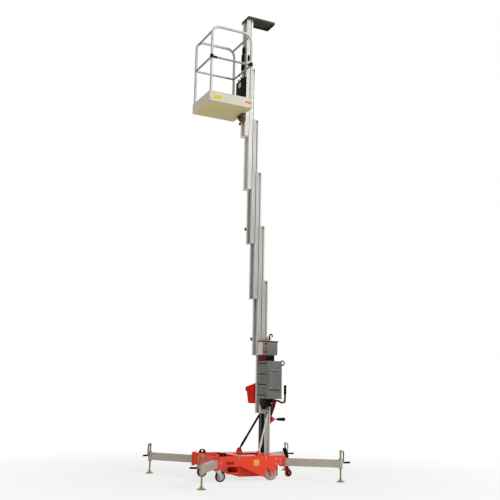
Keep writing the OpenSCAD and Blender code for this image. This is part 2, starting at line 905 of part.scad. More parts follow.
// Floor with its corners notched for the posts, and a smooth sheet under it
module platform_floor() {
    notch = 2 * (post_inset - toe_t);
    color([0.74, 0.67, 0.50])
        difference() {
            translate([-deck_w / 2 + toe_t, deck_front_y + toe_t, deck_low_z])
                cube([deck_w - 2 * toe_t, deck_l - 2 * toe_t, floor_t]);
            for (side = [-1, 1], y = [post_front_y, post_rear_y])
                translate([side * post_x, y, deck_low_z + floor_t / 2])
                    cube([notch, notch, floor_t + 2], center = true);
        }
}

module toeboard() {
    color([0.88, 0.87, 0.82])
        difference() {
            translate([-deck_w / 2, deck_front_y, deck_low_z])
                cube([deck_w, deck_l, toe_h]);
            translate([-deck_w / 2 + toe_t, deck_front_y + toe_t, deck_low_z - 1])
                cube([deck_w - 2 * toe_t, deck_l - 2 * toe_t, toe_h + 2]);
        }
}

// Inverted U of bent tube in the plane of one side, as a plain sweep
module hoop(side, d) {
    foot_z = deck_low_z;
    translate([side * post_x, 0, 0]) {
        for (y = [post_front_y, post_rear_y])
            rod([0, y, foot_z], [0, y, top_rail_z - rail_bend], d);
        rod([0, post_front_y + rail_bend, top_rail_z],
            [0, post_rear_y - rail_bend, top_rail_z], d);
        translate([0, post_rear_y - rail_bend, top_rail_z - rail_bend])
            rotate([90, 0, 90])
                elbow(rail_bend, d);
        translate([0, post_front_y + rail_bend, top_rail_z - rail_bend])
            rotate([90, 0, 90])
                rotate([0, 0, 90])
                    elbow(rail_bend, d);
    }
}

module guardrail_left() {
    stop_h = 8;
    color([0.80, 0.80, 0.78]) {
        hoop(1, rail_d);
        for (y = [post_front_y, post_rear_y])
            translate([post_x, y, mid_rail_z - gate_collar_l / 2 - run_gap - stop_h])
                cylinder(d = rail_d + 8, h = stop_h, $fn = round_fn);
    }
}

module guardrail_right() {
    color([0.80, 0.80, 0.78]) {
        hoop(-1, rail_d);
        rod([-post_x, post_front_y, mid_rail_z], [-post_x, post_rear_y, mid_rail_z], cross_d);
    }
}

// Rails across the front and the rear, coped to the two hoops
module cross_rails() {
    drop = rail_bend * (1 - sin(45));
    color([0.62, 0.62, 0.60])
        difference() {
            for (y = [post_front_y, post_rear_y]) {
                rod([-post_x, y, mid_rail_z], [post_x, y, mid_rail_z], cross_d);
                rod([-post_x, y + (y < post_rear_y ? drop : -drop), top_rail_z - drop],
                    [post_x, y + (y < post_rear_y ? drop : -drop), top_rail_z - drop], cross_d);
            }
            for (side = [-1, 1])
                hoop(side, rail_d + 2 * run_gap);
            rod([-post_x, post_front_y, mid_rail_z], [-post_x, post_rear_y, mid_rail_z],
                cross_d + 2 * run_gap);
            for (y = [post_front_y, post_rear_y])
                translate([post_x, y, mid_rail_z - gate_collar_l])
                    cylinder(r = gate_collar_r + 5, h = 2 * gate_collar_l, $fn = round_fn);
        }
}

// Entry bar whose collars slide up the posts of the left guardrail
module entry_gate() {
    bore = rail_d + 2 * run_gap;
    color([0.62, 0.62, 0.60]) {
        rod([post_x, post_front_y + rail_d / 2 + 4, mid_rail_z],
            [post_x, post_rear_y - rail_d / 2 - 4, mid_rail_z], gate_d);
        for (y = [post_front_y, post_rear_y])
            difference() {
                translate([post_x, y, mid_rail_z - gate_collar_l / 2])
                    cylinder(r = gate_collar_r, h = gate_collar_l, $fn = round_fn);
                translate([post_x, y, mid_rail_z - gate_collar_l / 2 - 1])
                    cylinder(d = bore, h = gate_collar_l + 2, $fn = round_fn);
            }
    }
}

// Control console fixed to the front of the mast, its top sloping down to the operator
module platform_console() {
    back_y = section_y(section_count);
    low_z = deck_low_z + console_rise;
    color([0.12, 0.12, 0.12])
        translate([-console_w / 2, 0, 0])
            rotate([90, 0, 90])
                linear_extrude(console_w)
                    polygon([[back_y, low_z], [back_y, low_z + console_h],
                             [back_y - console_d * 0.3, low_z + console_h],
                             [back_y - console_d, low_z + console_h * 0.8],
                             [back_y - console_d, low_z + 30],
                             [back_y - console_d * 0.7, low_z]]);
}

// Carrier plate on the mast with the gussets that hold up the floor
module platform_bracket() {
    front = section_y(section_count);
    color([0.30, 0.29, 0.27]) {
        translate([-80, deck_rear_y, deck_low_z - 110])
            cube([160, deck_gap, 330]);
        for (x = [-80, 72])
            translate([x, 0, 0])
                rotate([90, 0, 90])
                    linear_extrude(8)
                        polygon([[front - 1, deck_low_z], [front - 1, deck_low_z - 110],
                                 [deck_rear_y - 30, deck_low_z - 110],
                                 [deck_rear_y - 330, deck_low_z - 26],
                                 [deck_rear_y - 330, deck_low_z]]);
    }
}

tie_hole_d = 28;
tie_t = 10;

// Low lug on the upper edge of a side plate, with its hole across the machine
module tie_down(side) {
    hole_rise = 22;
    root_z = deck_z;
    top_z = deck_z + hole_rise + tie_hole_d / 2 + 10;
    x = side * (chassis_w / 2 - tie_t / 2);
    color([0.10, 0.10, 0.10])
        translate([x - tie_t / 2, tie_y, 0])
            rotate([90, 0, 90])
                linear_extrude(tie_t)
                    difference() {
                        polygon([[-55, root_z], [55, root_z], [55, deck_z + 8],
                                 [26, top_z], [-26, top_z], [-55, deck_z + 8]]);
                        translate([0, deck_z + hole_rise])
                            circle(d = tie_hole_d, $fn = round_fn);
                    }
}

module tie_down_left() { tie_down(1); }
module tie_down_right() { tie_down(-1); }

chassis();
mast_section_1();
mast_section_2();
mast_section_3();
mast_section_4();
mast_section_5();
mast_section_6();
mast_section_7();
mast_head_cover();
stay_left();
stay_right();
outrigger_front_left();
outrigger_front_right();
outrigger_rear_left();
outrigger_rear_right();
jack_front_left();
jack_front_right();
jack_rear_left();
jack_rear_right();
rear_wheel_left();
rear_wheel_right();
caster_fork_left();
caster_fork_right();
caster_wheel_left();
caster_wheel_right();
guide_fork();
guide_grip();
guide_wheel();
power_cover();
pump_unit();
control_box();
relay_block();
tool_box();
push_handle();
handle_bracket();
brake_lever();
platform_floor();
toeboard();
guardrail_left();
guardrail_right();
cross_rails();
entry_gate();
platform_console();
platform_bracket();
tie_down_left();
tie_down_right();
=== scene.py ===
# A push-around vertical mast lift, dressed for the studio: seven nested aluminium
# sections part raised, a guarded platform at the top, and a red chassis on four
# wheels and four outriggers. Lengths are in metres, +Z is up.
import math

import bpy
from mathutils import Matrix, Vector


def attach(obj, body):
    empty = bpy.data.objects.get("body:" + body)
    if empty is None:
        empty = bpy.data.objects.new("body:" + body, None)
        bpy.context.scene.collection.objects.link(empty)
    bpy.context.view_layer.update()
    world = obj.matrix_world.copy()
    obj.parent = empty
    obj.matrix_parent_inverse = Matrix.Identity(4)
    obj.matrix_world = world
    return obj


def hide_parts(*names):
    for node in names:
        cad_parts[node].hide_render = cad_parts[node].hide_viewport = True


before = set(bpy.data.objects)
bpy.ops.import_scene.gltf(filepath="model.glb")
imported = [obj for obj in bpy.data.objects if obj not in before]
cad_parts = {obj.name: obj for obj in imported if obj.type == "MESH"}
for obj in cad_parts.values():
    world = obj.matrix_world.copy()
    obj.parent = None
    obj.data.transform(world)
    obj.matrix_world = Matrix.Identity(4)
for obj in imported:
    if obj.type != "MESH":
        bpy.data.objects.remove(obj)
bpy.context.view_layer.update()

# Camera
# It stands low, ahead of the machine's left side, and looks up at the platform.
camera_place = Vector((9.484, -4.658, 1.151))
camera_azimuth = math.radians(26.155)
camera_pitch = math.radians(10.641)
camera_roll = math.radians(1.129)
camera_lens = 54.23
ahead = Vector((-math.cos(camera_azimuth), math.sin(camera_azimuth), 0.0))
level_right = Vector((math.sin(camera_azimuth), math.cos(camera_azimuth), 0.0))
view_line = ahead * math.cos(camera_pitch) + Vector((0, 0, math.sin(camera_pitch)))
level_up = level_right.cross(view_line)
camera_right = level_right * math.cos(camera_roll) + level_up * math.sin(camera_roll)
camera_up = level_up * math.cos(camera_roll) - level_right * math.sin(camera_roll)
bpy.ops.object.camera_add()
camera = bpy.context.object
camera.name = "studio_camera"
camera.data.sensor_width = 36.0
camera.data.lens = camera_lens
camera.data.clip_end = 200.0
camera.matrix_world = Matrix((
    (camera_right.x, camera_up.x, -view_line.x, camera_place.x),
    (camera_right.y, camera_up.y, -view_line.y, camera_place.y),
    (camera_right.z, camera_up.z, -view_line.z, camera_place.z),
    (0, 0, 0, 1)))
bpy.context.scene.camera = camera
bpy.context.scene.view_settings.view_transform = "Standard"

# Studio floor
# A pale sheet that takes the machine's shadow and fades to the white of the room.
def seen_directly(tree):
    """Light-path nodes that give 1 where the eye sees a thing itself, mirrored or through."""
    rays = tree.nodes.new("ShaderNodeLightPath")
    seen = tree.nodes.new("ShaderNodeMath")
    seen.operation = "MAXIMUM"
    seen_through = tree.nodes.new("ShaderNodeMath")
    seen_through.operation = "MAXIMUM"
    link = tree.links.new
    link(rays.outputs["Is Camera Ray"], seen.inputs[0])
    link(rays.outputs["Is Glossy Ray"], seen.inputs[1])
    link(seen.outputs[0], seen_through.inputs[0])
    link(rays.outputs["Is Transmission Ray"], seen_through.inputs[1])
    return seen_through.outputs[0]


floor_radius = 60.0
floor_colour = (0.90, 0.90, 0.89, 1)
shadow_radius = 1.6
fade_radius = 5.0
floor_lift = 0.74
bpy.ops.object.select_all(action="DESELECT")
bpy.ops.mesh.primitive_circle_add(vertices=96, radius=floor_radius, fill_type="NGON",
                                  location=(0, 0, -0.001))
studio_floor = bpy.context.object
studio_floor.name = "studio_floor"
floor_finish = bpy.data.materials.new("studio_floor")
floor_finish.use_nodes = True
tree = floor_finish.node_tree
tree.nodes.remove(tree.nodes["Principled BSDF"])
matt = tree.nodes.new("ShaderNodeBsdfDiffuse")
matt.inputs["Color"].default_value = floor_colour
white = tree.nodes.new("ShaderNodeEmission")
white.inputs["Color"].default_value = (1, 1, 1, 1)
place = tree.nodes.new("ShaderNodeTexCoord")
reach = tree.nodes.new("ShaderNodeVectorMath")
reach.operation = "LENGTH"
fade = tree.nodes.new("ShaderNodeMapRange")
fade.inputs["From Min"].default_value = shadow_radius
fade.inputs["From Max"].default_value = fade_radius
fade.inputs["To Min"].default_value = floor_lift
fade.inputs["To Max"].default_value = 1.0
share = tree.nodes.new("ShaderNodeMath")
share.operation = "MULTIPLY"
blend = tree.nodes.new("ShaderNodeMixShader")
link = tree.links.new
link(place.outputs["Object"], reach.inputs[0])
link(reach.outputs["Value"], fade.inputs["Value"])
link(fade.outputs["Result"], share.inputs[0])
link(seen_directly(tree), share.inputs[1])
link(share.outputs[0], blend.inputs["Fac"])
link(matt.outputs[0], blend.inputs[1])
link(white.outputs[0], blend.inputs[2])
link(blend.outputs[0], tree.nodes["Material Output"].inputs["Surface"])
studio_floor.data.materials.append(floor_finish)

# Studio light
# One large soft lamp from the machine's left rear quarter, a weaker one from the
# front, and an even white room that shows as pure white behind the machine.
room_light = 0.30
room = bpy.data.worlds.new("studio_room")
bpy.context.scene.world = room
room.use_nodes = True
tree = room.node_tree
soft = tree.nodes["Background"]
soft.inputs["Color"].default_value = (0.97, 0.985, 1.0, 1)
soft.inputs["Strength"].default_value = room_light
plain = tree.nodes.new("ShaderNodeBackground")
plain.inputs["Color"].default_value = (1, 1, 1, 1)
plain.inputs["Strength"].default_value = 1.0
blend = tree.nodes.new("ShaderNodeMixShader")
link = tree.links.new
link(seen_directly(tree), blend.inputs["Fac"])
link(soft.outputs[0], blend.inputs[1])
link(plain.outputs[0], blend.inputs[2])
link(blend.outputs[0], tree.nodes["World Output"].inputs["Surface"])

lamps = (
    # name, place, aimed at, size, watts
    ("key_lamp", (14.0, 8.0, 12.0), (0.0, 0.0, 2.8), 8.0, 1800.0),
    ("front_lamp", (2.0, -9.0, 5.0), (0.0, 0.0, 2.2), 5.0, 110.0),
)
for name, stand, aim, size, watts in lamps:
    bpy.ops.object.light_add(type="AREA", location=stand)
    lamp = bpy.context.object
    lamp.name = name
    lamp.data.shape = "DISK"
    lamp.data.size = size
    lamp.data.energy = watts
    lamp.rotation_euler = (Vector(aim) - Vector(stand)).to_track_quat("-Z", "Y").to_euler()


# Chassis
# A welded steel box in glossy orange-red enamel: two side plates, a deck, the belly
# box round the mast's foot, and a socket at each corner for an outrigger beam.
def tone(red, green, blue):
    """A colour read from 0 to 255, as linear light."""
    shares = [value / 255 for value in (red, green, blue)]
    linear = [s / 12.92 if s <= 0.04045 else ((s + 0.055) / 1.055) ** 2.4 for s in shares]
    return (*linear, 1.0)


def surface(name, colour, second, roughness, grain, metal=0.0, coat=0.0, turn=0.0, cloud=5.0,
            bump=0.08, level=0.3):
    """A finish with two tones in soft clouds, a fine grain that can follow a direction,
    and roughness and relief that change with that grain."""
    scuff = 0.12
    mat = bpy.data.materials.new(name)
    mat.use_nodes = True
    tree = mat.node_tree
    shader = tree.nodes["Principled BSDF"]
    shader.inputs["Metallic"].default_value = metal
    shader.inputs["Coat Weight"].default_value = coat
    shader.inputs["Specular IOR Level"].default_value = level
    place = tree.nodes.new("ShaderNodeTexCoord")
    clouds = tree.nodes.new("ShaderNodeTexNoise")
    clouds.inputs["Scale"].default_value = cloud
    clouds.inputs["Detail"].default_value = 4.0
    blend = tree.nodes.new("ShaderNodeMix")
    blend.data_type = "RGBA"
    blend.inputs[6].default_value = colour
    blend.inputs[7].default_value = second
    spread = tree.nodes.new("ShaderNodeMapRange")
    spread.inputs["From Min"].default_value = 0.36
    spread.inputs["From Max"].default_value = 0.72
    along = tree.nodes.new("ShaderNodeMapping")
    along.inputs["Rotation"].default_value = (0, 0, turn)
    along.inputs["Scale"].default_value = grain
    fine = tree.nodes.new("ShaderNodeTexNoise")
    fine.inputs["Scale"].default_value = 10.0
    fine.inputs["Detail"].default_value = 3.0
    shine = tree.nodes.new("ShaderNodeMapRange")
    shine.inputs["To Min"].default_value = max(roughness - scuff, 0.05)
    shine.inputs["To Max"].default_value = min(roughness + scuff, 1.0)
    relief = tree.nodes.new("ShaderNodeBump")
    relief.inputs["Strength"].default_value = bump
    relief.inputs["Distance"].default_value = 0.002
    link = tree.links.new
    link(place.outputs["Object"], clouds.inputs["Vector"])
    link(place.outputs["Object"], along.inputs["Vector"])
    link(along.outputs["Vector"], fine.inputs["Vector"])
    link(clouds.outputs["Fac"], spread.inputs["Value"])
    link(spread.outputs["Result"], blend.inputs["Factor"])
    link(blend.outputs[2], shader.inputs["Base Color"])
    link(fine.outputs["Fac"], shine.inputs["Value"])
    link(shine.outputs["Result"], shader.inputs["Roughness"])
    link(fine.outputs["Fac"], relief.inputs["Height"])
    link(relief.outputs["Normal"], shader.inputs["Normal"])
    return mat


def coat_node(node, mat):
    """Give a CAD node its finish."""
    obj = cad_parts[node]
    obj.data.materials.clear()
    obj.data.materials.append(mat)


red_enamel = surface("red_enamel", tone(252, 78, 44), tone(242, 66, 36), 0.34, coat=0.12,
                     grain=(14, 14, 14), cloud=3.0, bump=0.05, level=0.25)
coat_node("chassis", red_enamel)

# Chassis fittings
# Hexagon bolts through the side plates and the sockets, a blank plate where a sign would
# be riveted, the folded lip under the belly box and the welded frames of the fork pocket.
def ready(piece):
    """Make a piece the only one selected."""
    bpy.ops.object.select_all(action="DESELECT")
    piece.select_set(True)
    bpy.context.view_layer.objects.active = piece


def settle(piece):
    """Put a piece's place, turn and size into its mesh."""
    ready(piece)
    bpy.ops.object.transform_apply(location=True, rotation=True, scale=True)
    return piece


def soften(piece, edge, limit=30):
    """Round a piece's sharp edges and shade it smooth up to them."""
    ready(piece)
    rounding = piece.modifiers.new("rounding", "BEVEL")
    rounding.width = edge
    rounding.segments = 2
    rounding.limit_method = "ANGLE"
    rounding.angle_limit = math.radians(limit)
    bpy.ops.object.modifier_apply(modifier=rounding.name)
    bpy.ops.object.shade_smooth_by_angle(angle=math.radians(limit))
    return piece


def block(low, high, finish, edge):
    """A block between two corners, with rounded edges."""
    bpy.ops.object.select_all(action="DESELECT")
    bpy.ops.mesh.primitive_cube_add(size=1, location=[(a + b) / 2 for a, b in zip(low, high)])
    piece = bpy.context.object
    piece.scale = [b - a for a, b in zip(low, high)]
    piece.data.materials.append(finish)
    return soften(settle(piece), edge)


def bar(start, end, radius, finish, edge=0.001, sides=24):
    """A round bar, or with six sides a hexagon one, from one point to another."""
    run = Vector(end) - Vector(start)
    bpy.ops.object.select_all(action="DESELECT")
    bpy.ops.mesh.primitive_cylinder_add(vertices=sides, radius=radius, depth=run.length,
                                        location=(Vector(start) + Vector(end)) / 2,
                                        rotation=run.to_track_quat("Z", "Y").to_euler())
    piece = bpy.context.object
    piece.data.materials.append(finish)
    return soften(settle(piece), edge)


def joined(pieces):
    """Several pieces as one."""
    ready(pieces[0])
    for piece in pieces:
        piece.select_set(True)
    if len(pieces) > 1:
        bpy.ops.object.join()
    return settle(pieces[0])


def copied(piece, place, turn=(0, 0, 0)):
    """A copy of a piece, with its own mesh, at a place and turned there."""
    copy = piece.copy()
    copy.data = piece.data.copy()
    bpy.context.collection.objects.link(copy)
    copy.location = place
    copy.rotation_euler = turn
    return copy


def set_out(piece, places):
    """Move a piece that was made at the origin, pointing up, to many places and directions."""
    copies = [copied(piece, place, Vector(way).to_track_quat("Z", "Y").to_euler())
              for place, way in places]
    bpy.data.objects.remove(piece)
    return joined(copies)


def fit(piece, name, body):
    """Name a finished piece and fix it to its body."""
    settle(piece)
    piece.name = name
    piece.data.name = name
    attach(piece, body)
    return piece


plated_steel = surface("plated_steel", tone(172, 172, 168), tone(150, 150, 145), 0.38, metal=0.7,
                       grain=(20, 20, 20))
black_steel = surface("black_steel", tone(14, 14, 13), tone(20, 19, 18), 0.5,
                      grain=(24, 24, 24), level=0.05)


def bolt(size, finish=plated_steel):
    """A hexagon bolt head on a washer, at the origin and pointing up."""
    washer = bar((0, 0, -0.0005), (0, 0, size * 0.25), size * 1.3, finish, 0.0004)
    head = bar((0, 0, 0), (0, 0, size * 0.95), size, finish, 0.0008, 6)
    return joined([washer, head])


side_bolts = [(side * 0.35, y, z) for side in (-1, 1)
              for y, z in ((-0.572, 0.292), (-0.539, 0.235), (-0.572, 0.214), (0.275, 0.275),
                           (0.336, 0.267), (0.276, 0.214), (0.337, 0.214), (-0.27, 0.296),
                           (0.12, 0.296))]
fit(set_out(bolt(0.009), [(place, (place[0], 0, 0)) for place in side_bolts]),
    "chassis_side_bolts", "root")
front_root, front_tip = (0.338, -0.578), (0.940, -1.040)
rear_root, rear_tip = (0.338, 0.414), (0.760, 1.0255)
front_turn = math.atan2(front_tip[1] - front_root[1], front_tip[0] - front_root[0])
rear_turn = math.atan2(rear_tip[1] - rear_root[1], rear_tip[0] - rear_root[0])
socket_bolts = []
for side in (-1, 1):
    for turn, root, reaches in ((front_turn, front_root, (-0.02, 0.034)),
                                (rear_turn, rear_root, (-0.05, -0.012))):
        for reach in reaches:
            socket_bolts.append(((side * (root[0] + reach * math.cos(turn)),
                                  root[1] + reach * math.sin(turn), 0.291), (0, 0, 1)))
fit(set_out(bolt(0.008), socket_bolts), "chassis_socket_bolts", "root")

sign_yellow = surface("sign_yellow", tone(232, 214, 60), tone(222, 204, 50), 0.42,
                      grain=(18, 18, 18), cloud=12.0, level=0.1)
sign_amber = surface("sign_amber", tone(252, 196, 92), tone(244, 184, 80), 0.42,
                     grain=(18, 18, 18), cloud=12.0, level=0.1)
sign_orange = surface("sign_orange", tone(222, 120, 44), tone(208, 108, 36), 0.42,
                      grain=(18, 18, 18), cloud=12.0)
blank_plate = block((0.3495, -0.058, 0.196), (0.3515, 0.022, 0.272), sign_amber, 0.0008)
fit(blank_plate, "chassis_blank_plate", "root")
lips = []
for side in (-1, 1):
    low, high = sorted((side * 0.254, side * 0.268))
    lips.append(block((low, -0.216, 0.052), (high, 0.352, 0.066), red_enamel, 0.003))
lips.append(block((-0.268, -0.222, 0.052), (0.268, -0.208, 0.066), red_enamel, 0.003))
fit(joined(lips), "belly_lip", "root")
fork_bars = []
for side in (-1, 1):
    low, high = sorted((side * 0.338, side * 0.352))
    for near, far, foot, top in ((-0.445, -0.269, 0.096, 0.108), (-0.445, -0.434, 0.100, 0.192),
                                 (-0.280, -0.269, 0.100, 0.192)):
        fork_bars.append(block((low, near, foot), (high, far, top), red_enamel, 0.003))
fit(joined(fork_bars), "fork_pocket_frames", "root")

# Mast
# Seven aluminium extrusions, mill finished, each with fine draw lines along its length;
# the two upper ones are a little brighter. The first is bolted to the chassis, and each
# of the others slides on the one before it.
drawn_aluminium = surface("drawn_aluminium", tone(222, 220, 214), tone(208, 206, 200), 0.45,
                          metal=0.12, grain=(40, 40, 0.6), cloud=1.4, bump=0.05, level=0.25)
for number in range(1, 6):
    coat_node(f"mast_section_{number}", drawn_aluminium)
bright_aluminium = surface("bright_aluminium", tone(248, 247, 240), tone(236, 235, 228), 0.45,
                           metal=0.12, grain=(40, 40, 0.6), cloud=1.4, bump=0.05, level=0.25)
for number in (6, 7):
    coat_node(f"mast_section_{number}", bright_aluminium)

# Cover over the mast
# Folded charcoal sheet with turned-down lips, fixed on top of the front section.
charcoal_sheet = surface("charcoal_sheet", tone(82, 82, 76), tone(70, 70, 65), 0.8,
                         grain=(30, 30, 30), bump=0.04, level=0.02)
coat_node("mast_head_cover", charcoal_sheet)

# Mast fittings
# Black moulded parts screwed to the sections: cable guides, roller blocks at the top of
# those that carry another and three housings for sockets. Black strips down the first
# one's slot are painted shade in the slot, grey strips in every section's side grooves
# are painted shade in the grooves, and a steel hook holds the cable.
def drawn(points):
    """A line through points, drawn one after another, selected and still in edit mode."""
    bpy.ops.object.select_all(action="DESELECT")
    bpy.ops.mesh.primitive_plane_add(size=0.01)
    piece = bpy.context.object
    bpy.ops.object.mode_set(mode="EDIT")
    bpy.ops.mesh.select_all(action="SELECT")
    bpy.ops.mesh.merge(type="CENTER")
    here = Vector(points[0])
    bpy.ops.transform.translate(value=here)
    for point in points[1:]:
        there = Vector(point)
        bpy.ops.mesh.extrude_region_move(TRANSFORM_OT_translate={"value": there - here})
        here = there
    bpy.ops.mesh.select_all(action="SELECT")
    return piece


def turned(outline, foot, way, finish, steps=32):
    """A turned piece: its outline of (radius, height) points is drawn and spun, then stood
    on its foot along a direction."""
    piece = drawn([(radius, 0, height) for radius, height in outline])
    bpy.ops.mesh.spin(steps=steps, angle=2 * math.pi, center=(0, 0, 0), axis=(0, 0, 1))
    bpy.ops.mesh.select_all(action="SELECT")
    bpy.ops.mesh.remove_doubles(threshold=0.00002)
    bpy.ops.mesh.normals_make_consistent(inside=False)
    bpy.ops.object.mode_set(mode="OBJECT")
    piece.location = foot
    piece.rotation_euler = Vector(way).to_track_quat("Z", "Y").to_euler()
    piece.data.materials.append(finish)
    settle(piece)
    bpy.ops.object.shade_smooth_by_angle(angle=math.radians(35))
    return piece


black_grip = surface("black_grip", tone(13, 13, 12), tone(20, 19, 18), 0.6,
                     grain=(30, 30, 30), bump=0.15, level=0.05)
guide_outline = ((0, 0), (0.0165, 0), (0.0165, 0.019), (0.0205, 0.0205), (0.0236, 0.022),
                 (0.0236, 0.026), (0.0215, 0.029), (0.0215, 0.032), (0.0236, 0.035),
                 (0.0236, 0.0375), (0.0215, 0.0395), (0.008, 0.0395), (0.0065, 0.037), (0, 0.037))


def section_place(number):
    """The y of a mast section's front face and the z of its foot, as in the photo."""
    return 0.232 - 0.064 * (number - 1), 0.073 + 0.789 * (number - 1)


for number in (3, 5, 7):
    front, foot = section_place(number)
    fit(turned(guide_outline, (-0.086, front + 0.0085, foot + 0.23), (-1, 0, 0), black_grip),
        f"cable_guide_{number}", f"mast_{number}")
section_length, half_width = 1.842, 0.0855
for number in range(2, 7):
    front, foot = section_place(number)
    top = foot + section_length
    parts = []
    for side in (-1, 1):
        low, high = sorted((side * 0.047, side * 0.083))
        parts.append(block((low, front + 0.0445, top - 0.042), (high, front + 0.0615, top - 0.001),
                           black_grip, 0.002))
        parts.append(bar((side * 0.047, front + 0.054, top - 0.010),
                         (side * half_width, front + 0.054, top - 0.010), 0.0075,
                         plated_steel))
    fit(joined(parts), f"roller_blocks_{number}", f"mast_{number}")
# A grey for the pump's filter and the lifting ring's foot, also used as painted shade in the mast's
# side grooves.
grey_parts_and_groove_shade = surface("grey_parts_and_groove_shade", tone(112, 108, 104), tone(92, 89, 86), 0.6, grain=(20, 20, 2),
                    level=0.15)
# Grey strips set flush in two grooves on each side of every section: painted shade in the grooves.
for number in range(1, 8):
    front, foot = section_place(number)
    groove_shade_pieces = []
    for low in (-half_width, 0.0829):
        for groove in (0.0132, 0.0308):
            middle = front + groove
            groove_shade_pieces.append(block((low, middle - 0.0034, foot + 0.010),
                               (low + 0.0026, middle + 0.0034, foot + 1.840), grey_parts_and_groove_shade, 0.0006))
    fit(joined(groove_shade_pieces), f"groove_shade_strips_{number}", f"mast_{number}" if number > 1 else "root")
# Black strips on the first section's slot lips and a thin black sheet at its back: painted shade in
# the slot below the second section.
strip_low, strip_high = 0.330, 0.856
strips = [block((low, 0.2288, strip_low), (low + 0.0345, 0.2318, strip_high), black_grip, 0.0008)
          for low in (-half_width, 0.0510)]
strips.append(block((-0.072, 0.26775, strip_low), (0.072, 0.26795, strip_high), black_grip,
                    0.00005))
fit(joined(strips), "slot_painted_shade_strips", "root")
housings = []
for low, high in (((-0.046, -0.178, 6.112), (0.022, -0.1518, 6.198)),
                  ((-0.072, -0.174, 5.985), (-0.014, -0.1518, 6.104)),
                  ((-0.064, -0.180, 5.838), (-0.002, -0.1518, 5.948))):
    housings.append(block(low, high, black_grip, 0.006))
    middle, height = (low[0] + high[0]) / 2, low[2] + 0.034
    housings.append(bar((middle, low[1] + 0.002, height), (middle, low[1] - 0.006, height),
                        0.017, black_grip, 0.002))
fit(joined(housings), "mast_socket_housings", "mast_7")


def tube(points, radius, finish, sides=6):
    """A bent tube or rod along a path of points, closed at both ends."""
    bpy.ops.object.select_all(action="DESELECT")
    bpy.ops.curve.primitive_nurbs_path_add()
    path = bpy.context.object
    line = path.data.splines[0]
    line.points.add(max(0, len(points) - len(line.points)))
    for spot, point in zip(line.points, points):
        spot.co = (*point, 1)
    while len(line.points) > len(points):
        bpy.ops.object.mode_set(mode="EDIT")
        bpy.ops.curve.select_all(action="DESELECT")
        path.data.splines[0].points[-1].select = True
        bpy.ops.curve.delete(type="VERT")
        bpy.ops.object.mode_set(mode="OBJECT")
        line = path.data.splines[0]
    line.order_u = 3
    line.use_endpoint_u = True
    path.data.resolution_u = 6
    path.data.bevel_depth = radius
    path.data.bevel_resolution = sides
    path.data.use_fill_caps = True
    bpy.ops.object.convert(target="MESH")
    piece = bpy.context.object
    piece.data.materials.append(finish)
    bpy.ops.object.mode_set(mode="EDIT")
    bpy.ops.mesh.select_all(action="SELECT")
    bpy.ops.mesh.remove_doubles(threshold=0.00002)
    bpy.ops.mesh.normals_make_consistent(inside=False)
    bpy.ops.object.mode_set(mode="OBJECT")
    settle(piece)
    bpy.ops.object.shade_smooth_by_angle(angle=math.radians(50))
    return piece


hook = joined([
    tube(((0.084, -0.128, 6.034), (0.100, -0.128, 6.036), (0.112, -0.128, 6.020),
          (0.114, -0.128, 5.975), (0.108, -0.124, 5.957), (0.116, -0.108, 5.955),
          (0.124, -0.103, 5.972)), 0.006, black_steel),
    block((0.0855, -0.143, 5.960), (0.0915, -0.113, 6.044), black_steel, 0.002)])
fit(hook, "mast_cable_hook", "mast_7")

# Stays
# Two tubes from the chassis to the first section, zinc plated on the left and sleeved in
# black on the right, bolted through ears at both ends, and the two black tie-down lugs.
coat_node("stay_left", plated_steel)
coat_node("stay_right", black_steel)
for side in ("left", "right"):
    coat_node(f"tie_down_{side}", black_steel)
for side, way, finish, slot in (("left", 1, plated_steel, "rail_tube"),
                                ("right", -1, black_steel, "black_metal")):
    foot_x, foot_y, foot_z = way * 0.300, 0.040, 0.358
    head_y, head_z = 0.268, 0.866
    low = Vector((foot_x, foot_y, foot_z))
    high = Vector((way * 0.106, head_y, head_z))
    nut = 0.0125
    run = (high - low).normalized()
    middle = low + (high - low) * 0.22
    parts = [bar(middle - run * 0.045, middle + run * 0.045, 0.0165, finish, 0.002)]
    if side == "right":
        parts.append(bar(low + run * 0.050, high - run * 0.045, 0.0150, finish, 0.002))
    for reach in (-0.058, 0.046):
        parts.append(bar(middle + run * reach, middle + run * (reach + 0.012), 0.019, finish,
                         0.001, 6))
    for step in (-1, 1):
        edge = foot_x + step * 0.030
        parts.append(bar((edge, foot_y, foot_z), (edge + step * 0.009, foot_y, foot_z), nut,
                         finish, 0.001, 6))
    parts.append(bar((way * 0.120, head_y, head_z), (way * 0.130, head_y, head_z), nut, finish,
                     0.001, 6))
    fit(joined(parts), f"stay_fittings_{side}", "root")

# Outriggers
# Rectangular aluminium tubes set in the corner sockets, each with the jack's sleeve
# welded into its outer end.
for end, turn in (("front", front_turn), ("rear", rear_turn)):
    for side, way in (("left", turn), ("right", math.pi - turn)):
        beam = surface(f"beam_{end}_{side}", tone(192, 184, 171), tone(176, 167, 153), 0.42,
                       metal=0.15, grain=(0.6, 40, 40), turn=-way, cloud=2.5, bump=0.05, level=0.25)
        coat_node(f"outrigger_{end}_{side}", beam)

# Outrigger fittings
# A threaded collar above and below each sleeve, and a spring pin with a ring pull that
# locks each beam in its socket.
def ring(place, turn, radius, gauge, steps, sides, finish):
    """A ring of round rod about a place."""
    bpy.ops.object.select_all(action="DESELECT")
    bpy.ops.mesh.primitive_torus_add(location=place, rotation=turn, major_radius=radius,
                                     minor_radius=gauge, major_segments=steps,
                                     minor_segments=sides)
    piece = bpy.context.object
    piece.data.materials.append(finish)
    bpy.ops.object.shade_smooth()
    return settle(piece)


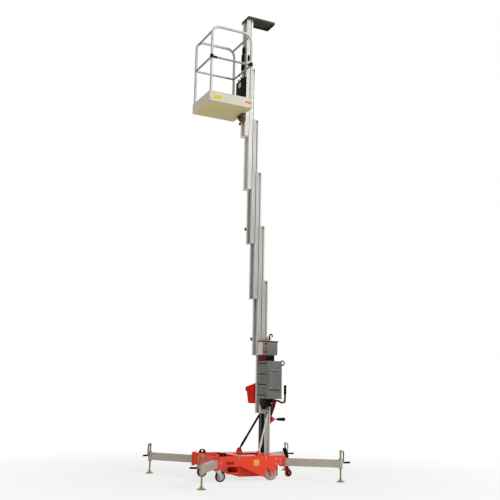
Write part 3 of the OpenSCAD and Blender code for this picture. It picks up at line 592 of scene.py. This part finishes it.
collar_outline = ((0.0128, 0), (0.0230, 0), (0.0250, 0.0025), (0.0250, 0.0090),
                  (0.0225, 0.0115), (0.0128, 0.0115), (0.0128, 0))
for end, tip, turn, root, reach in (("front", front_tip, front_turn, front_root, 0.016),
                                    ("rear", rear_tip, rear_turn, rear_root, -0.030)):
    for side, way in (("left", 1), ("right", -1)):
        parts = [turned(collar_outline, (way * tip[0], tip[1], z), (0, 0, 1), plated_steel, 24)
                 for z in (0.1665, 0.290)]
        x = way * (root[0] + reach * math.cos(turn))
        y = root[1] + reach * math.sin(turn)
        parts.append(bar((x, y, 0.290), (x, y, 0.326), 0.009, plated_steel))
        parts.append(bar((x, y, 0.312), (x, y, 0.318), 0.013, plated_steel, 0.001))
        parts.append(ring((x, y, 0.338), (math.pi / 2, 0, turn), 0.014, 0.0022, 28, 10,
                          plated_steel))
        fit(joined(parts), f"outrigger_fittings_{end}_{side}", "root")

# Screw jacks
# Yellow-zinc plated steel: a flared foot, a threaded screw with a nut on top, and a flat
# crank arm folded down beside it with a black turning grip.
yellow_zinc = surface("yellow_zinc", tone(166, 158, 112), tone(132, 124, 84), 0.4, metal=0.45,
                      grain=(25, 25, 25), cloud=14.0)
thread = [(0, 0.034)]
for turn_number in range(68):
    z = 0.036 + 0.005 * turn_number
    thread += [(0.0105, z), (0.0119, z + 0.0015), (0.0119, z + 0.0030), (0.0105, z + 0.0045)]
thread += [(0.0105, 0.378), (0, 0.378)]
foot_outline = ((0, 0), (0.0560, 0), (0.0580, 0.002), (0.0580, 0.005), (0.0550, 0.0075),
                (0.0400, 0.011), (0.0290, 0.018), (0.0230, 0.028), (0.0205, 0.034),
                (0.0170, 0.038), (0.0170, 0.042), (0, 0.042))
cap_outline = ((0, 0.376), (0.0175, 0.376), (0.0190, 0.378), (0.0190, 0.392), (0.0165, 0.396),
               (0, 0.396))


def strap(path, width, end_width, thickness, finish):
    """A flat bar bent along (y, z) points, narrowing to its end width."""
    piece = drawn([(-0.5, y, z) for y, z in path])
    bpy.ops.mesh.extrude_region_move(TRANSFORM_OT_translate={"value": (1, 0, 0)})
    bpy.ops.mesh.select_all(action="SELECT")
    bpy.ops.mesh.normals_make_consistent(inside=False)
    bpy.ops.object.mode_set(mode="OBJECT")
    first, last = Vector(path[0]), Vector(path[-1])
    for corner in piece.data.vertices:
        share = (Vector(corner.co[1:]) - first).length / (last - first).length
        corner.co.x *= width + (end_width - width) * min(share, 1.0)
    gauge = piece.modifiers.new("gauge", "SOLIDIFY")
    gauge.thickness = thickness
    gauge.offset = 0
    bpy.ops.object.modifier_apply(modifier=gauge.name)
    piece.data.materials.append(finish)
    return soften(piece, 0.0012, 40)


def grip(start, end, radius, ribs, bulb=1.0):
    """A moulded grip with finger ribs, closed at both ends; a bulb swells its far end."""
    run = Vector(end) - Vector(start)
    length = run.length
    outline = [(0, 0), (radius * 0.8, 0), (radius * 0.92, length * 0.03)]
    pitch = length * 0.72 / ribs
    for rib in range(ribs):
        h = length * 0.1 + rib * pitch
        swell = radius * (1 + (bulb - 1) * rib / ribs)
        outline += [(swell * 0.92, h), (swell, h + pitch * 0.22), (swell, h + pitch * 0.6),
                    (swell * 0.92, h + pitch * 0.8)]
    swell = radius * bulb
    outline += [(swell, length * 0.86), (swell, length * 0.94), (swell * 0.75, length * 0.99),
                (0, length)]
    return turned(outline, start, run, black_grip, 20)


crank_path = ((0.0, 0.4035), (0.020, 0.4035), (0.030, 0.4015), (0.0385, 0.395), (0.0435, 0.384),
              (0.0455, 0.366), (0.0460, 0.320), (0.0460, 0.262), (0.0465, 0.236))
screw_jack = joined([
    turned(foot_outline, (0, 0, 0), (0, 0, 1), yellow_zinc, 36),
    turned(thread, (0, 0, 0), (0, 0, 1), yellow_zinc, 16),
    turned(cap_outline, (0, 0, 0), (0, 0, 1), yellow_zinc, 28),
    bar((0, 0, 0.395), (0, 0, 0.4078), 0.0115, yellow_zinc, 0.001, 6),
    strap(crank_path, 0.034, 0.020, 0.007, yellow_zinc),
    bar((0, 0.040, 0.246), (0, 0.056, 0.246), 0.008, yellow_zinc),
    grip((0, 0.052, 0.246), (0, 0.149, 0.246), 0.0122, 7)])
for end, (x, y), turn in (("front", front_tip, math.radians(150)),
                          ("rear", (0.760, 1.0255378), 0.0)):
    for side, way in (("left", 1), ("right", -1)):
        name = f"{end}_{side}"
        jack = copied(screw_jack, (way * x, y, 0), (0, 0, way * turn))
        fit(jack, f"screw_jack_{name}", f"jack_{name}")
        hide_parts(f"jack_{name}")
bpy.data.objects.remove(screw_jack)

# Wheels
# Pale grey tyres on the rear axle, black ones in zinc-plated casters at the front, and a
# small dark red wheel on the steered fork under the rear guide grip.
pale_rubber = surface("pale_rubber", tone(176, 170, 168), tone(150, 144, 142), 0.7,
                      grain=(30, 30, 30), cloud=10.0, bump=0.12)
dark_rubber = surface("dark_rubber", tone(34, 34, 35), tone(50, 48, 47), 0.72,
                      grain=(30, 30, 30), cloud=10.0, bump=0.12, level=0.15)
dark_red = surface("dark_red", tone(126, 24, 22), tone(98, 18, 16), 0.45, coat=0.1,
                   grain=(20, 20, 20), level=0.2)
hub_grey = surface("hub_grey", tone(206, 202, 196), tone(186, 182, 176), 0.5,
                   grain=(26, 26, 26), cloud=9.0)
zinc_bright = surface("zinc_bright", tone(206, 206, 200), tone(176, 176, 170), 0.35, metal=0.5,
                      grain=(26, 26, 26), cloud=12.0)


def tyre(radius, rim, width, grooves, finish):
    """A tyre with rounded shoulders and grooves round its tread, on its side at the origin."""
    half = width / 2
    outline = [(rim, -half * 0.92), (radius * 0.90, -half), (radius * 0.965, -half * 0.9),
               (radius * 0.993, -half * 0.68)]
    for groove in range(grooves):
        at = half * (-0.42 + 0.84 * groove / max(grooves - 1, 1))
        outline += [(radius, at - half * 0.12), (radius * 0.975, at - half * 0.09),
                    (radius * 0.975, at + half * 0.09), (radius, at + half * 0.12)]
    outline += [(radius * 0.993, half * 0.68), (radius * 0.965, half * 0.9),
                (radius * 0.90, half), (rim, half * 0.92), (rim, -half * 0.92)]
    return turned(outline, (0, 0, 0), (1, 0, 0), finish, 56)


def hub(rim, bore, width, spokes, finish):
    """A moulded wheel centre: rim, thin web, ribs and a boss with its bore."""
    half = width / 2
    outline = ((bore, -half), (rim * 0.34, -half), (rim * 0.38, -half * 0.4),
               (rim * 0.80, -half * 0.3), (rim * 0.86, -half * 0.84), (rim + 0.0004, -half * 0.84),
               (rim + 0.0004, half * 0.84), (rim * 0.86, half * 0.84), (rim * 0.80, half * 0.3),
               (rim * 0.38, half * 0.4), (rim * 0.34, half), (bore, half), (bore, -half))
    parts = [turned(outline, (0, 0, 0), (1, 0, 0), finish, 48)]
    for spoke in range(spokes):
        rib = block((-half * 0.74, -rim * 0.035, rim * 0.30),
                    (half * 0.74, rim * 0.035, rim * 0.87), finish, 0.001)
        rib.rotation_euler = (2 * math.pi * spoke / spokes, 0, 0)
        parts.append(settle(rib))
    return joined(parts)


rear_tyre = tyre(0.089, 0.062, 0.046, 3, pale_rubber)
rear_hub = hub(0.062, 0.0124, 0.046, 6, hub_grey)
front_tyre = tyre(0.068, 0.049, 0.038, 2, dark_rubber)
front_hub = hub(0.049, 0.0064, 0.038, 5, hub_grey)
guide_tyre = tyre(0.049, 0.030, 0.034, 2, dark_red)
guide_hub = hub(0.030, 0.0054, 0.034, 5, black_steel)
race_outline = ((0, 0), (0.026, 0), (0.032, 0.002), (0.035, 0.005), (0.035, 0.0095),
                (0.030, 0.0117), (0, 0.0117))


def cut_plate(x, corners, gauge, finish):
    """A flat plate across the machine at x, cut to its (y, z) corners."""
    bpy.ops.object.select_all(action="DESELECT")
    bpy.ops.mesh.primitive_circle_add(vertices=len(corners), radius=0.01, fill_type="NGON")
    piece = bpy.context.object
    for corner, (y, z) in zip(piece.data.vertices, corners):
        corner.co = (x, y, z)
    bpy.ops.object.mode_set(mode="EDIT")
    bpy.ops.mesh.select_all(action="SELECT")
    bpy.ops.mesh.extrude_region_move(TRANSFORM_OT_translate={"value": (gauge, 0, 0)})
    bpy.ops.mesh.select_all(action="SELECT")
    bpy.ops.mesh.normals_make_consistent(inside=False)
    bpy.ops.object.mode_set(mode="OBJECT")
    piece.data.materials.append(finish)
    return soften(piece, 0.0012)


leg = ((-0.026, 0.151), (-0.026, 0.138), (0.022, 0.064), (0.028, 0.055), (0.036, 0.051),
       (0.046, 0.051), (0.054, 0.056), (0.058, 0.064), (0.057, 0.074), (0.040, 0.138),
       (0.040, 0.151))
caster_fork = joined([
    turned(race_outline, (0, 0, 0.150), (0, 0, 1), zinc_bright, 36),
    bar((0, 0, 0.150), (0, 0, 0.176), 0.0098, zinc_bright),
    block((-0.027, -0.026, 0.1455), (0.027, 0.040, 0.1505), zinc_bright, 0.0015),
    cut_plate(-0.0272, leg, 0.004, zinc_bright),
    cut_plate(0.0232, leg, 0.004, zinc_bright),
    bar((-0.031, 0.042, 0.068), (0.031, 0.042, 0.068), 0.0058, zinc_bright),
    bar((-0.034, 0.042, 0.068), (-0.0272, 0.042, 0.068), 0.010, zinc_bright, 0.001, 6),
    bar((0.0272, 0.042, 0.068), (0.034, 0.042, 0.068), 0.010, zinc_bright, 0.001, 6)])
axle_y, axle_z = 0.218, 0.089
guide_y, guide_z = 0.660, 0.049
for side, way in (("left", 1), ("right", -1)):
    rear = (way * 0.301, axle_y, axle_z)
    front = (way * 0.304, -0.514, 0.068)
    swivel = (way * 0.304, -0.556, 0)
    for pattern, name, place, body, slot in (
            (rear_tyre, "rear_tyre", rear, "rear_wheel_", "grey_tyre"),
            (rear_hub, "rear_hub", rear, "rear_wheel_", "grey_tyre"),
            (front_tyre, "caster_tyre", front, "caster_wheel_", "black_tyre"),
            (front_hub, "caster_hub", front, "caster_wheel_", "black_tyre"),
            (caster_fork, "caster_frame", swivel, "caster_", "fork_steel")):
        fit(copied(pattern, place), f"{name}_{side}", body + side)
    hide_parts(f"rear_wheel_{side}")
    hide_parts(f"caster_wheel_{side}")
    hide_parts(f"caster_fork_{side}")
for pattern in (rear_tyre, rear_hub, front_tyre, front_hub, caster_fork):
    bpy.data.objects.remove(pattern)
for piece, name in ((guide_tyre, "guide_tyre"), (guide_hub, "guide_hub")):
    piece.location = (0, guide_y, guide_z)
    fit(piece, name, "guide_wheel")
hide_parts("guide_wheel")
coat_node("guide_fork", dark_red)
nuts = [bar((way * 0.0255, guide_y, guide_z), (way * 0.0305, guide_y, guide_z), 0.009,
            plated_steel, 0.001, 6) for way in (-1, 1)]
fit(joined(nuts), "guide_axle_nuts", "guide")
guide_handle = joined([bar((0, 0.640, 0.2515), (0, 0.640, 0.268), 0.0150, black_steel, 0.002),
                       grip((0, 0.639, 0.262), (0, 0.590, 0.388), 0.0275, 6)])
fit(guide_handle, "guide_handle", "guide")
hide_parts("guide_grip")
axle_cap = ((0, 0), (0.0135, 0), (0.0135, 0.004), (0.0105, 0.0065), (0, 0.0072))
axle_caps = [turned(axle_cap, (way * 0.3495, axle_y, axle_z), (way, 0, 0), plated_steel, 28)
             for way in (-1, 1)]
fit(joined(axle_caps), "rear_axle_caps", "root")

# Power unit
# A grey moulded cover with grooves, a raised panel and a lifting ring, the black pump
# block with its motor and filter below, the relay block and the control box above, all
# bolted to the mast's left side, and the red tool box on its right side. On the cover,
# black strips are painted shade in the grooves and pale strips are painted highlight.
grey_moulding = surface("grey_moulding", tone(116, 120, 113), tone(104, 108, 102), 0.5,
                        grain=(60, 60, 60), bump=0.12, level=0.2)
# A paler copy of the cover's grey, used only as painted highlight.
painted_highlight_grey = surface("painted_highlight_grey", tone(168, 172, 164), tone(150, 154, 147), 0.5,
                         grain=(60, 60, 60), level=0.2)
coat_node("power_cover", grey_moulding)
# Black strips in the four front grooves and along the side panel's edges are painted shade; the
# pale strips under the grooves and on the panel's top edge are painted highlight. The skirt and the
# rear louvres are plain grey moulding.
trim = []
lowest_groove, groove_step = 1.102, 0.14033
for groove in range(4):
    z = lowest_groove + groove_step * groove
    trim.append(block((0.1015, 0.1032, z - 0.003), (0.340, 0.1105, z + 0.012), black_grip, 0.001))
    trim.append(block((0.1035, 0.1005, z - 0.012), (0.340, 0.1055, z - 0.004), painted_highlight_grey,
                      0.0015))
trim += [block((0.3805, 0.136, 1.4400), (0.3912, 0.307, 1.4500), painted_highlight_grey, 0.002),
         block((0.3805, 0.140, 1.4250), (0.3896, 0.303, 1.4310), black_grip, 0.001),
         block((0.3805, 0.138, 1.1740), (0.3896, 0.305, 1.1830), black_grip, 0.001),
         block((0.0985, 0.1025, 1.0585), (0.3825, 0.3410, 1.0740), grey_moulding, 0.004)]
for slat in range(7):
    trim.append(block((0.140, 0.3385, 1.200 + 0.034 * slat), (0.340, 0.3440, 1.212 + 0.034 * slat),
                      grey_moulding, 0.002))
fit(joined(trim), "power_cover_trim", "root")
panel_screws = [((0.3878, y, z), (1, 0, 0)) for y in (0.150, 0.293) for z in (1.200, 1.412)]
fit(set_out(bolt(0.006), panel_screws), "power_cover_screws", "root")
lifting_ring = ring((0.366, 0.345, 1.540), (0, math.pi / 2, 0), 0.030, 0.0080, 36, 12,
                    black_steel)
ring_foot = block((0.356, 0.330, 1.512), (0.376, 0.3415, 1.528), grey_parts_and_groove_shade, 0.002)
fit(joined([lifting_ring, ring_foot]), "power_cover_ring", "root")
motor_outline = ((0, 0), (0.030, 0), (0.046, 0.004), (0.050, 0.010), (0.050, 0.016),
                 (0.047, 0.018), (0.047, 0.022), (0.050, 0.024), (0.050, 0.040), (0, 0.040))
filter_outline = ((0, 0), (0.022, 0), (0.027, 0.004), (0.027, 0.034), (0.024, 0.038),
                  (0.020, 0.040), (0.020, 0.052), (0, 0.052))
pump_block = joined([
    block((0.1000, 0.1340, 0.9780), (0.2900, 0.2460, 1.0600), black_steel, 0.004),
    block((0.1120, 0.1440, 0.9540), (0.2780, 0.2380, 0.9790), black_steel, 0.004),
    block((0.1040, 0.2440, 0.9900), (0.1900, 0.2620, 1.0600), black_steel, 0.004),
    turned(motor_outline, (0.160, 0.191, 0.916), (0, 0, 1), black_steel, 40),
    turned(filter_outline, (0.248, 0.192, 0.906), (0, 0, 1), grey_parts_and_groove_shade, 32),
    bar((0.288, 0.224, 1.000), (0.304, 0.224, 1.000), 0.010, plated_steel, 0.001, 6)])
fit(pump_block, "pump_block", "root")
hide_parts("pump_unit")
relay_red = surface("relay_red", tone(116, 22, 16), tone(84, 14, 10), 0.5, grain=(20, 20, 20),
                    level=0.05)
coat_node("relay_block", relay_red)
relays = [block((0.2235, 0.1700, 1.5670), (0.2270, 0.2960, 1.6480), black_grip, 0.001)]
for slot_number in range(3):
    y = 0.182 + 0.036 * slot_number
    relays.append(block((0.2265, y, 1.580), (0.2310, y + 0.022, 1.636), black_steel, 0.001))
fit(joined(relays), "relay_panel", "root")
box_cream = surface("box_cream", tone(250, 244, 228), tone(240, 232, 214), 0.45,
                    grain=(40, 40, 40), level=0.2)
box_grey = surface("box_grey", tone(128, 122, 117), tone(116, 110, 105), 0.45,
                   grain=(40, 40, 40), level=0.2)
coat_node("control_box", box_cream)
box_panel = block((0.2325, 0.1050, 1.6520), (0.2355, 0.3380, 1.8290), box_grey, 0.001)
fit(box_panel, "control_box_panel", "root")
bright_red = surface("bright_red", tone(248, 28, 14), tone(236, 20, 10), 0.5,
                     grain=(20, 20, 20), level=0.04)
button_outline = ((0, 0), (0.0125, 0), (0.0125, 0.003), (0.0100, 0.0035), (0.0100, 0.0085),
                  (0.0085, 0.0105), (0, 0.0110))
buttons = [turned(button_outline, (0.2352, 0.155, z), (1, 0, 0), finish, 28)
           for z, finish in ((1.800, black_grip), (1.746, bright_red), (1.692, black_grip))]
fit(joined(buttons), "control_box_buttons", "root")
box_lid = joined([
    block((0.0920, 0.0940, 1.8355), (0.2430, 0.3470, 1.8440), dark_red, 0.002),
    tube(((0.165, 0.246, 1.842), (0.165, 0.246, 1.880), (0.165, 0.246, 1.915),
          (0.165, 0.254, 1.937), (0.165, 0.272, 1.942), (0.165, 0.290, 1.930),
          (0.165, 0.292, 1.905)), 0.0095, black_steel),
    block((0.0925, 0.0950, 1.8290), (0.2425, 0.3460, 1.8360), black_grip, 0.001),
    bar((0.165, 0.246, 1.843), (0.165, 0.246, 1.853), 0.014, plated_steel, 0.001, 6)])
fit(box_lid, "control_box_lid", "root")
coat_node("tool_box", bright_red)
latch = joined([block((-0.3600, 0.148, 1.160), (-0.3485, 0.190, 1.222), black_grip, 0.002),
                block((-0.3575, 0.222, 1.166), (-0.3485, 0.268, 1.214), black_grip, 0.002),
                block((-0.3620, 0.230, 1.176), (-0.3560, 0.260, 1.204), plated_steel, 0.0015),
                bar((-0.104, 0.160, 1.2625), (-0.104, 0.330, 1.2625), 0.0055, black_steel)])
fit(latch, "tool_box_latch", "root")

# Push handle
# A dark red cross tube with a J-shaped grip at each end, on gussets bolted to the back of
# the mast, and the brake lever below it.
grip_x, grip_y, cross_y = 0.300, 0.429, 0.3615
half_path = [(grip_x, grip_y, 1.165), (grip_x, grip_y, 1.080), (grip_x, grip_y, 1.018),
             (grip_x, 0.392, 1.012), (grip_x, cross_y, 1.012), (0.262, cross_y, 1.030),
             (0.200, cross_y, 1.035)]
handle_path = half_path + [(-x, y, z) for x, y, z in reversed(half_path)]
handle_tube = tube(handle_path, 0.014, dark_red, 7)
fit(handle_tube, "handle_tube", "root")
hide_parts("push_handle")
grips = [grip((way * grip_x, grip_y, 1.118), (way * grip_x, grip_y, 1.247), 0.0185, 8)
         for way in (-1, 1)]
fit(joined(grips), "handle_grips", "root")
handle_gusset = ((0.3272, 0.715), (0.345, 0.715), (0.366, 0.837), (0.410, 0.946),
                 (0.428, 1.010), (0.428, 1.040), (0.350, 1.100), (0.3272, 1.100))
gusset_red = surface("gusset_red", tone(104, 22, 22), tone(74, 14, 14), 0.5, grain=(20, 20, 20),
                     level=0.06)
handle_gussets = joined([
    cut_plate(-0.052, handle_gusset, 0.008, gusset_red),
    cut_plate(0.044, handle_gusset, 0.008, gusset_red),
    block((-0.060, 0.3272, 0.730), (0.060, 0.3322, 1.085), gusset_red, 0.002)])
fit(handle_gussets, "handle_gussets", "root")
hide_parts("handle_bracket")
gusset_bolts = [((way * 0.054, 0.3322, z), (0, 1, 0)) for way in (-1, 1) for z in (0.750, 1.070)]
fit(set_out(bolt(0.006), gusset_bolts), "handle_bolts", "root")
coat_node("brake_lever", bright_red)
pivot_y, lever_z = 0.352, 0.780
lever = joined([
    grip((0.062, 0.440, lever_z), (0.062, 0.5600, lever_z), 0.0195, 5, 1.25),
    bar((0.0485, pivot_y, lever_z), (0.0790, pivot_y, lever_z), 0.0200, black_steel, 0.002),
    bar((0.0450, pivot_y, lever_z), (0.0830, pivot_y, lever_z), 0.0100, plated_steel, 0.001, 6)])
fit(lever, "brake_lever_grip", "root")

# Platform
# A pressed floor pan with raised studs inside a pale bolted toeboard with two blank
# plates, tubular guardrails, and an entry bar that slides up its posts. The cross rails
# and the entry bar are a darker grey than the posts, painted shade of their undersides.
floor_tan = surface("floor_tan", tone(232, 215, 156), tone(222, 205, 146), 0.5,
                    grain=(20, 20, 20), level=0.15)
toe_cream = surface("toe_cream", tone(230, 224, 204), tone(222, 216, 196), 0.5,
                    grain=(20, 20, 20), level=0.15)
# The rails' grey is the posts' aluminium made darker: painted shade of the rails' undersides.
shaded_rail_grey = surface("shaded_rail_grey", tone(158, 158, 153), tone(142, 142, 138), 0.4, metal=0.2,
                    grain=(30, 30, 30), level=0.3)
# Silver of the guardrail posts, also used for the painted highlight on the console's front.
post_silver_and_highlight = surface("post_silver_and_highlight", tone(198, 198, 194), tone(182, 182, 178), 0.38, metal=0.2,
                      grain=(30, 30, 2), level=0.3)
coat_node("platform_floor", floor_tan)
coat_node("toeboard", toe_cream)
for side in ("left", "right"):
    coat_node(f"guardrail_{side}", post_silver_and_highlight)
coat_node("cross_rails", shaded_rail_grey)
coat_node("entry_gate", shaded_rail_grey)
edge_x, front_y, rear_y = 0.317, -0.828, -0.164
lip_low, lip_high = 5.275, 5.278
toe_lips = [block((-edge_x, low, lip_low), (edge_x, high, lip_high), toe_cream, 0.001)
            for low, high in ((front_y, -0.812), (-0.180, rear_y))]
for way in (-1, 1):
    low, high = sorted((way * 0.301, way * edge_x))
    toe_lips.append(block((low, front_y, lip_low), (high, rear_y, lip_high), toe_cream, 0.001))
fit(joined(toe_lips), "toeboard_lips", "mast_7")
post_rows, bolt_rows = (-0.8047, -0.1873), (5.170, 5.250)
toe_bolts = [((way * edge_x, y, z), (way, 0, 0)) for way in (-1, 1) for y in post_rows
             for z in bolt_rows]
toe_bolts += [((x, front_y, z), (0, -1, 0)) for x in (-0.294, 0.294) for z in bolt_rows]
fit(set_out(bolt(0.006), toe_bolts), "toeboard_bolts", "mast_7")
fit(block((0.3165, -0.762, 5.172), (0.3185, -0.640, 5.222), sign_yellow, 0.0008),
    "platform_blank_plate_front", "mast_7")
fit(block((0.3165, -0.275, 5.190), (0.3185, -0.182, 5.222), sign_orange, 0.0008),
    "platform_blank_plate_rear", "mast_7")
stud = block((-0.011, -0.0025, 0), (0.011, 0.0025, 0.0018), floor_tan, 0.0008)
stud_z, stud_lean = 5.1658, math.radians(45)
studs = []
for row in range(17):
    for column in range(15):
        place = (-0.266 + 0.038 * column, -0.780 + 0.035 * row, stud_z)
        lean = stud_lean if (row + column) % 2 else -stud_lean
        studs.append(copied(stud, place, (0, 0, lean)))
bpy.data.objects.remove(stud)
fit(joined(studs), "floor_studs", "mast_7")

# Entry bar fittings
# Black moulded collars that slide on the posts at each end of the bar, and a short ribbed
# sleeve on the bar beside each one, where a hand lifts it.
post_x, bar_z = 0.2937, 5.793
sleeve_outline = ((0.0196, -0.027), (0.0258, -0.027), (0.0268, -0.024), (0.0268, -0.016),
                  (0.0260, -0.014), (0.0260, 0.014), (0.0268, 0.016), (0.0268, 0.024),
                  (0.0258, 0.027), (0.0196, 0.027), (0.0196, -0.027))
collars = [turned(sleeve_outline, (post_x, y, bar_z), (0, 0, 1), black_grip) for y in post_rows]
for near, far, ribs in ((-0.780, -0.722, 3), (-0.212, -0.246, 2)):
    collars.append(grip((post_x, near, bar_z), (post_x, far, bar_z), 0.0172, ribs))
fit(joined(collars), "entry_bar_collars", "entry_gate")

# Console
# A black moulded box screwed to the front of the mast: a sloping face with a red stop
# button, a lever in a rubber boot, two switches, and a pale plate on its front that is a
# painted highlight.
coat_node("platform_console", black_grip)
slope = Vector((0, -0.750, 0.662))
stop_outline = ((0, 0), (0.0150, 0), (0.0150, 0.004), (0.0080, 0.005), (0.0080, 0.012),
                (0.0180, 0.014), (0.0195, 0.019), (0.0150, 0.025), (0, 0.027))
boot_outline = ((0, 0), (0.0200, 0), (0.0200, 0.003), (0.0170, 0.005), (0.0175, 0.009),
                (0.0130, 0.011), (0.0135, 0.015), (0.0090, 0.018), (0.0050, 0.020),
                (0.0050, 0.050), (0.0095, 0.053), (0.0100, 0.066), (0.0060, 0.071), (0, 0.072))
switch_outline = ((0, 0), (0.0100, 0), (0.0100, 0.003), (0.0070, 0.004), (0.0040, 0.006),
                  (0.0035, 0.018), (0, 0.020))
slope_y, slope_z = -0.209, 5.670
controls = [turned(stop_outline, (-0.052, slope_y, slope_z), slope, bright_red),
            turned(boot_outline, (0.046, slope_y, slope_z), slope, black_grip)]
for x in (-0.010, 0.015):
    controls.append(turned(switch_outline, (x, slope_y, slope_z), slope, plated_steel, 24))
fit(joined(controls), "console_controls", "mast_7")
# The pale plate is a painted highlight on the console's front, between black strips along the
# front's top and bottom edges.
console_plate = joined([
    block((0.004, -0.2422, 5.528), (0.080, -0.2395, 5.604), post_silver_and_highlight, 0.001),
    block((-0.0875, -0.2415, 5.384), (0.0875, -0.2385, 5.392), black_steel, 0.001),
    block((-0.0875, -0.2415, 5.622), (0.0875, -0.2385, 5.630), black_steel, 0.001)])
fit(console_plate, "console_highlight_plate", "mast_7")
screws = [((way * 0.086, y, z), (way, 0, 0)) for way in (-1, 1) for y in (-0.222, -0.168)
          for z in (5.410, 5.600)]
fit(set_out(bolt(0.005, black_steel), screws), "console_screws", "mast_7")

# Platform bracket
# A carrier plate bolted to the front section, with two short gussets that take the floor's
# rear edge. Its dark brown is painted shade on the mast's front under the floor.
# Dark brown that stands for the shade under the floor: painted shade.
shaded_bracket_brown = surface("shaded_bracket_brown", tone(124, 106, 74), tone(96, 80, 54), 0.5,
                        grain=(20, 20, 20), level=0.15)
deck_gusset = ((-0.1525, 5.1315), (-0.1525, 5.056), (-0.176, 5.056), (-0.218, 5.106),
               (-0.218, 5.1315))
plate_front = -0.1638
bracket = joined([
    block((-0.080, plate_front, 5.024), (0.080, -0.1522, 5.350), shaded_bracket_brown, 0.002),
    cut_plate(-0.080, deck_gusset, 0.008, shaded_bracket_brown),
    cut_plate(0.072, deck_gusset, 0.008, shaded_bracket_brown),
    block((-0.080, -0.218, 5.1225), (0.080, -0.160, 5.1315), shaded_bracket_brown, 0.002)])
fit(bracket, "deck_bracket", "mast_7")
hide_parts("platform_bracket")
bracket_bolts = [((x, plate_front, z), (0, -1, 0)) for spread, rows in
                 ((0.055, (5.300, 5.335)), (0.045, (5.045, 5.090)))
                 for x in (-spread, spread) for z in rows]
fit(set_out(bolt(0.007), bracket_bolts), "bracket_bolts", "mast_7")
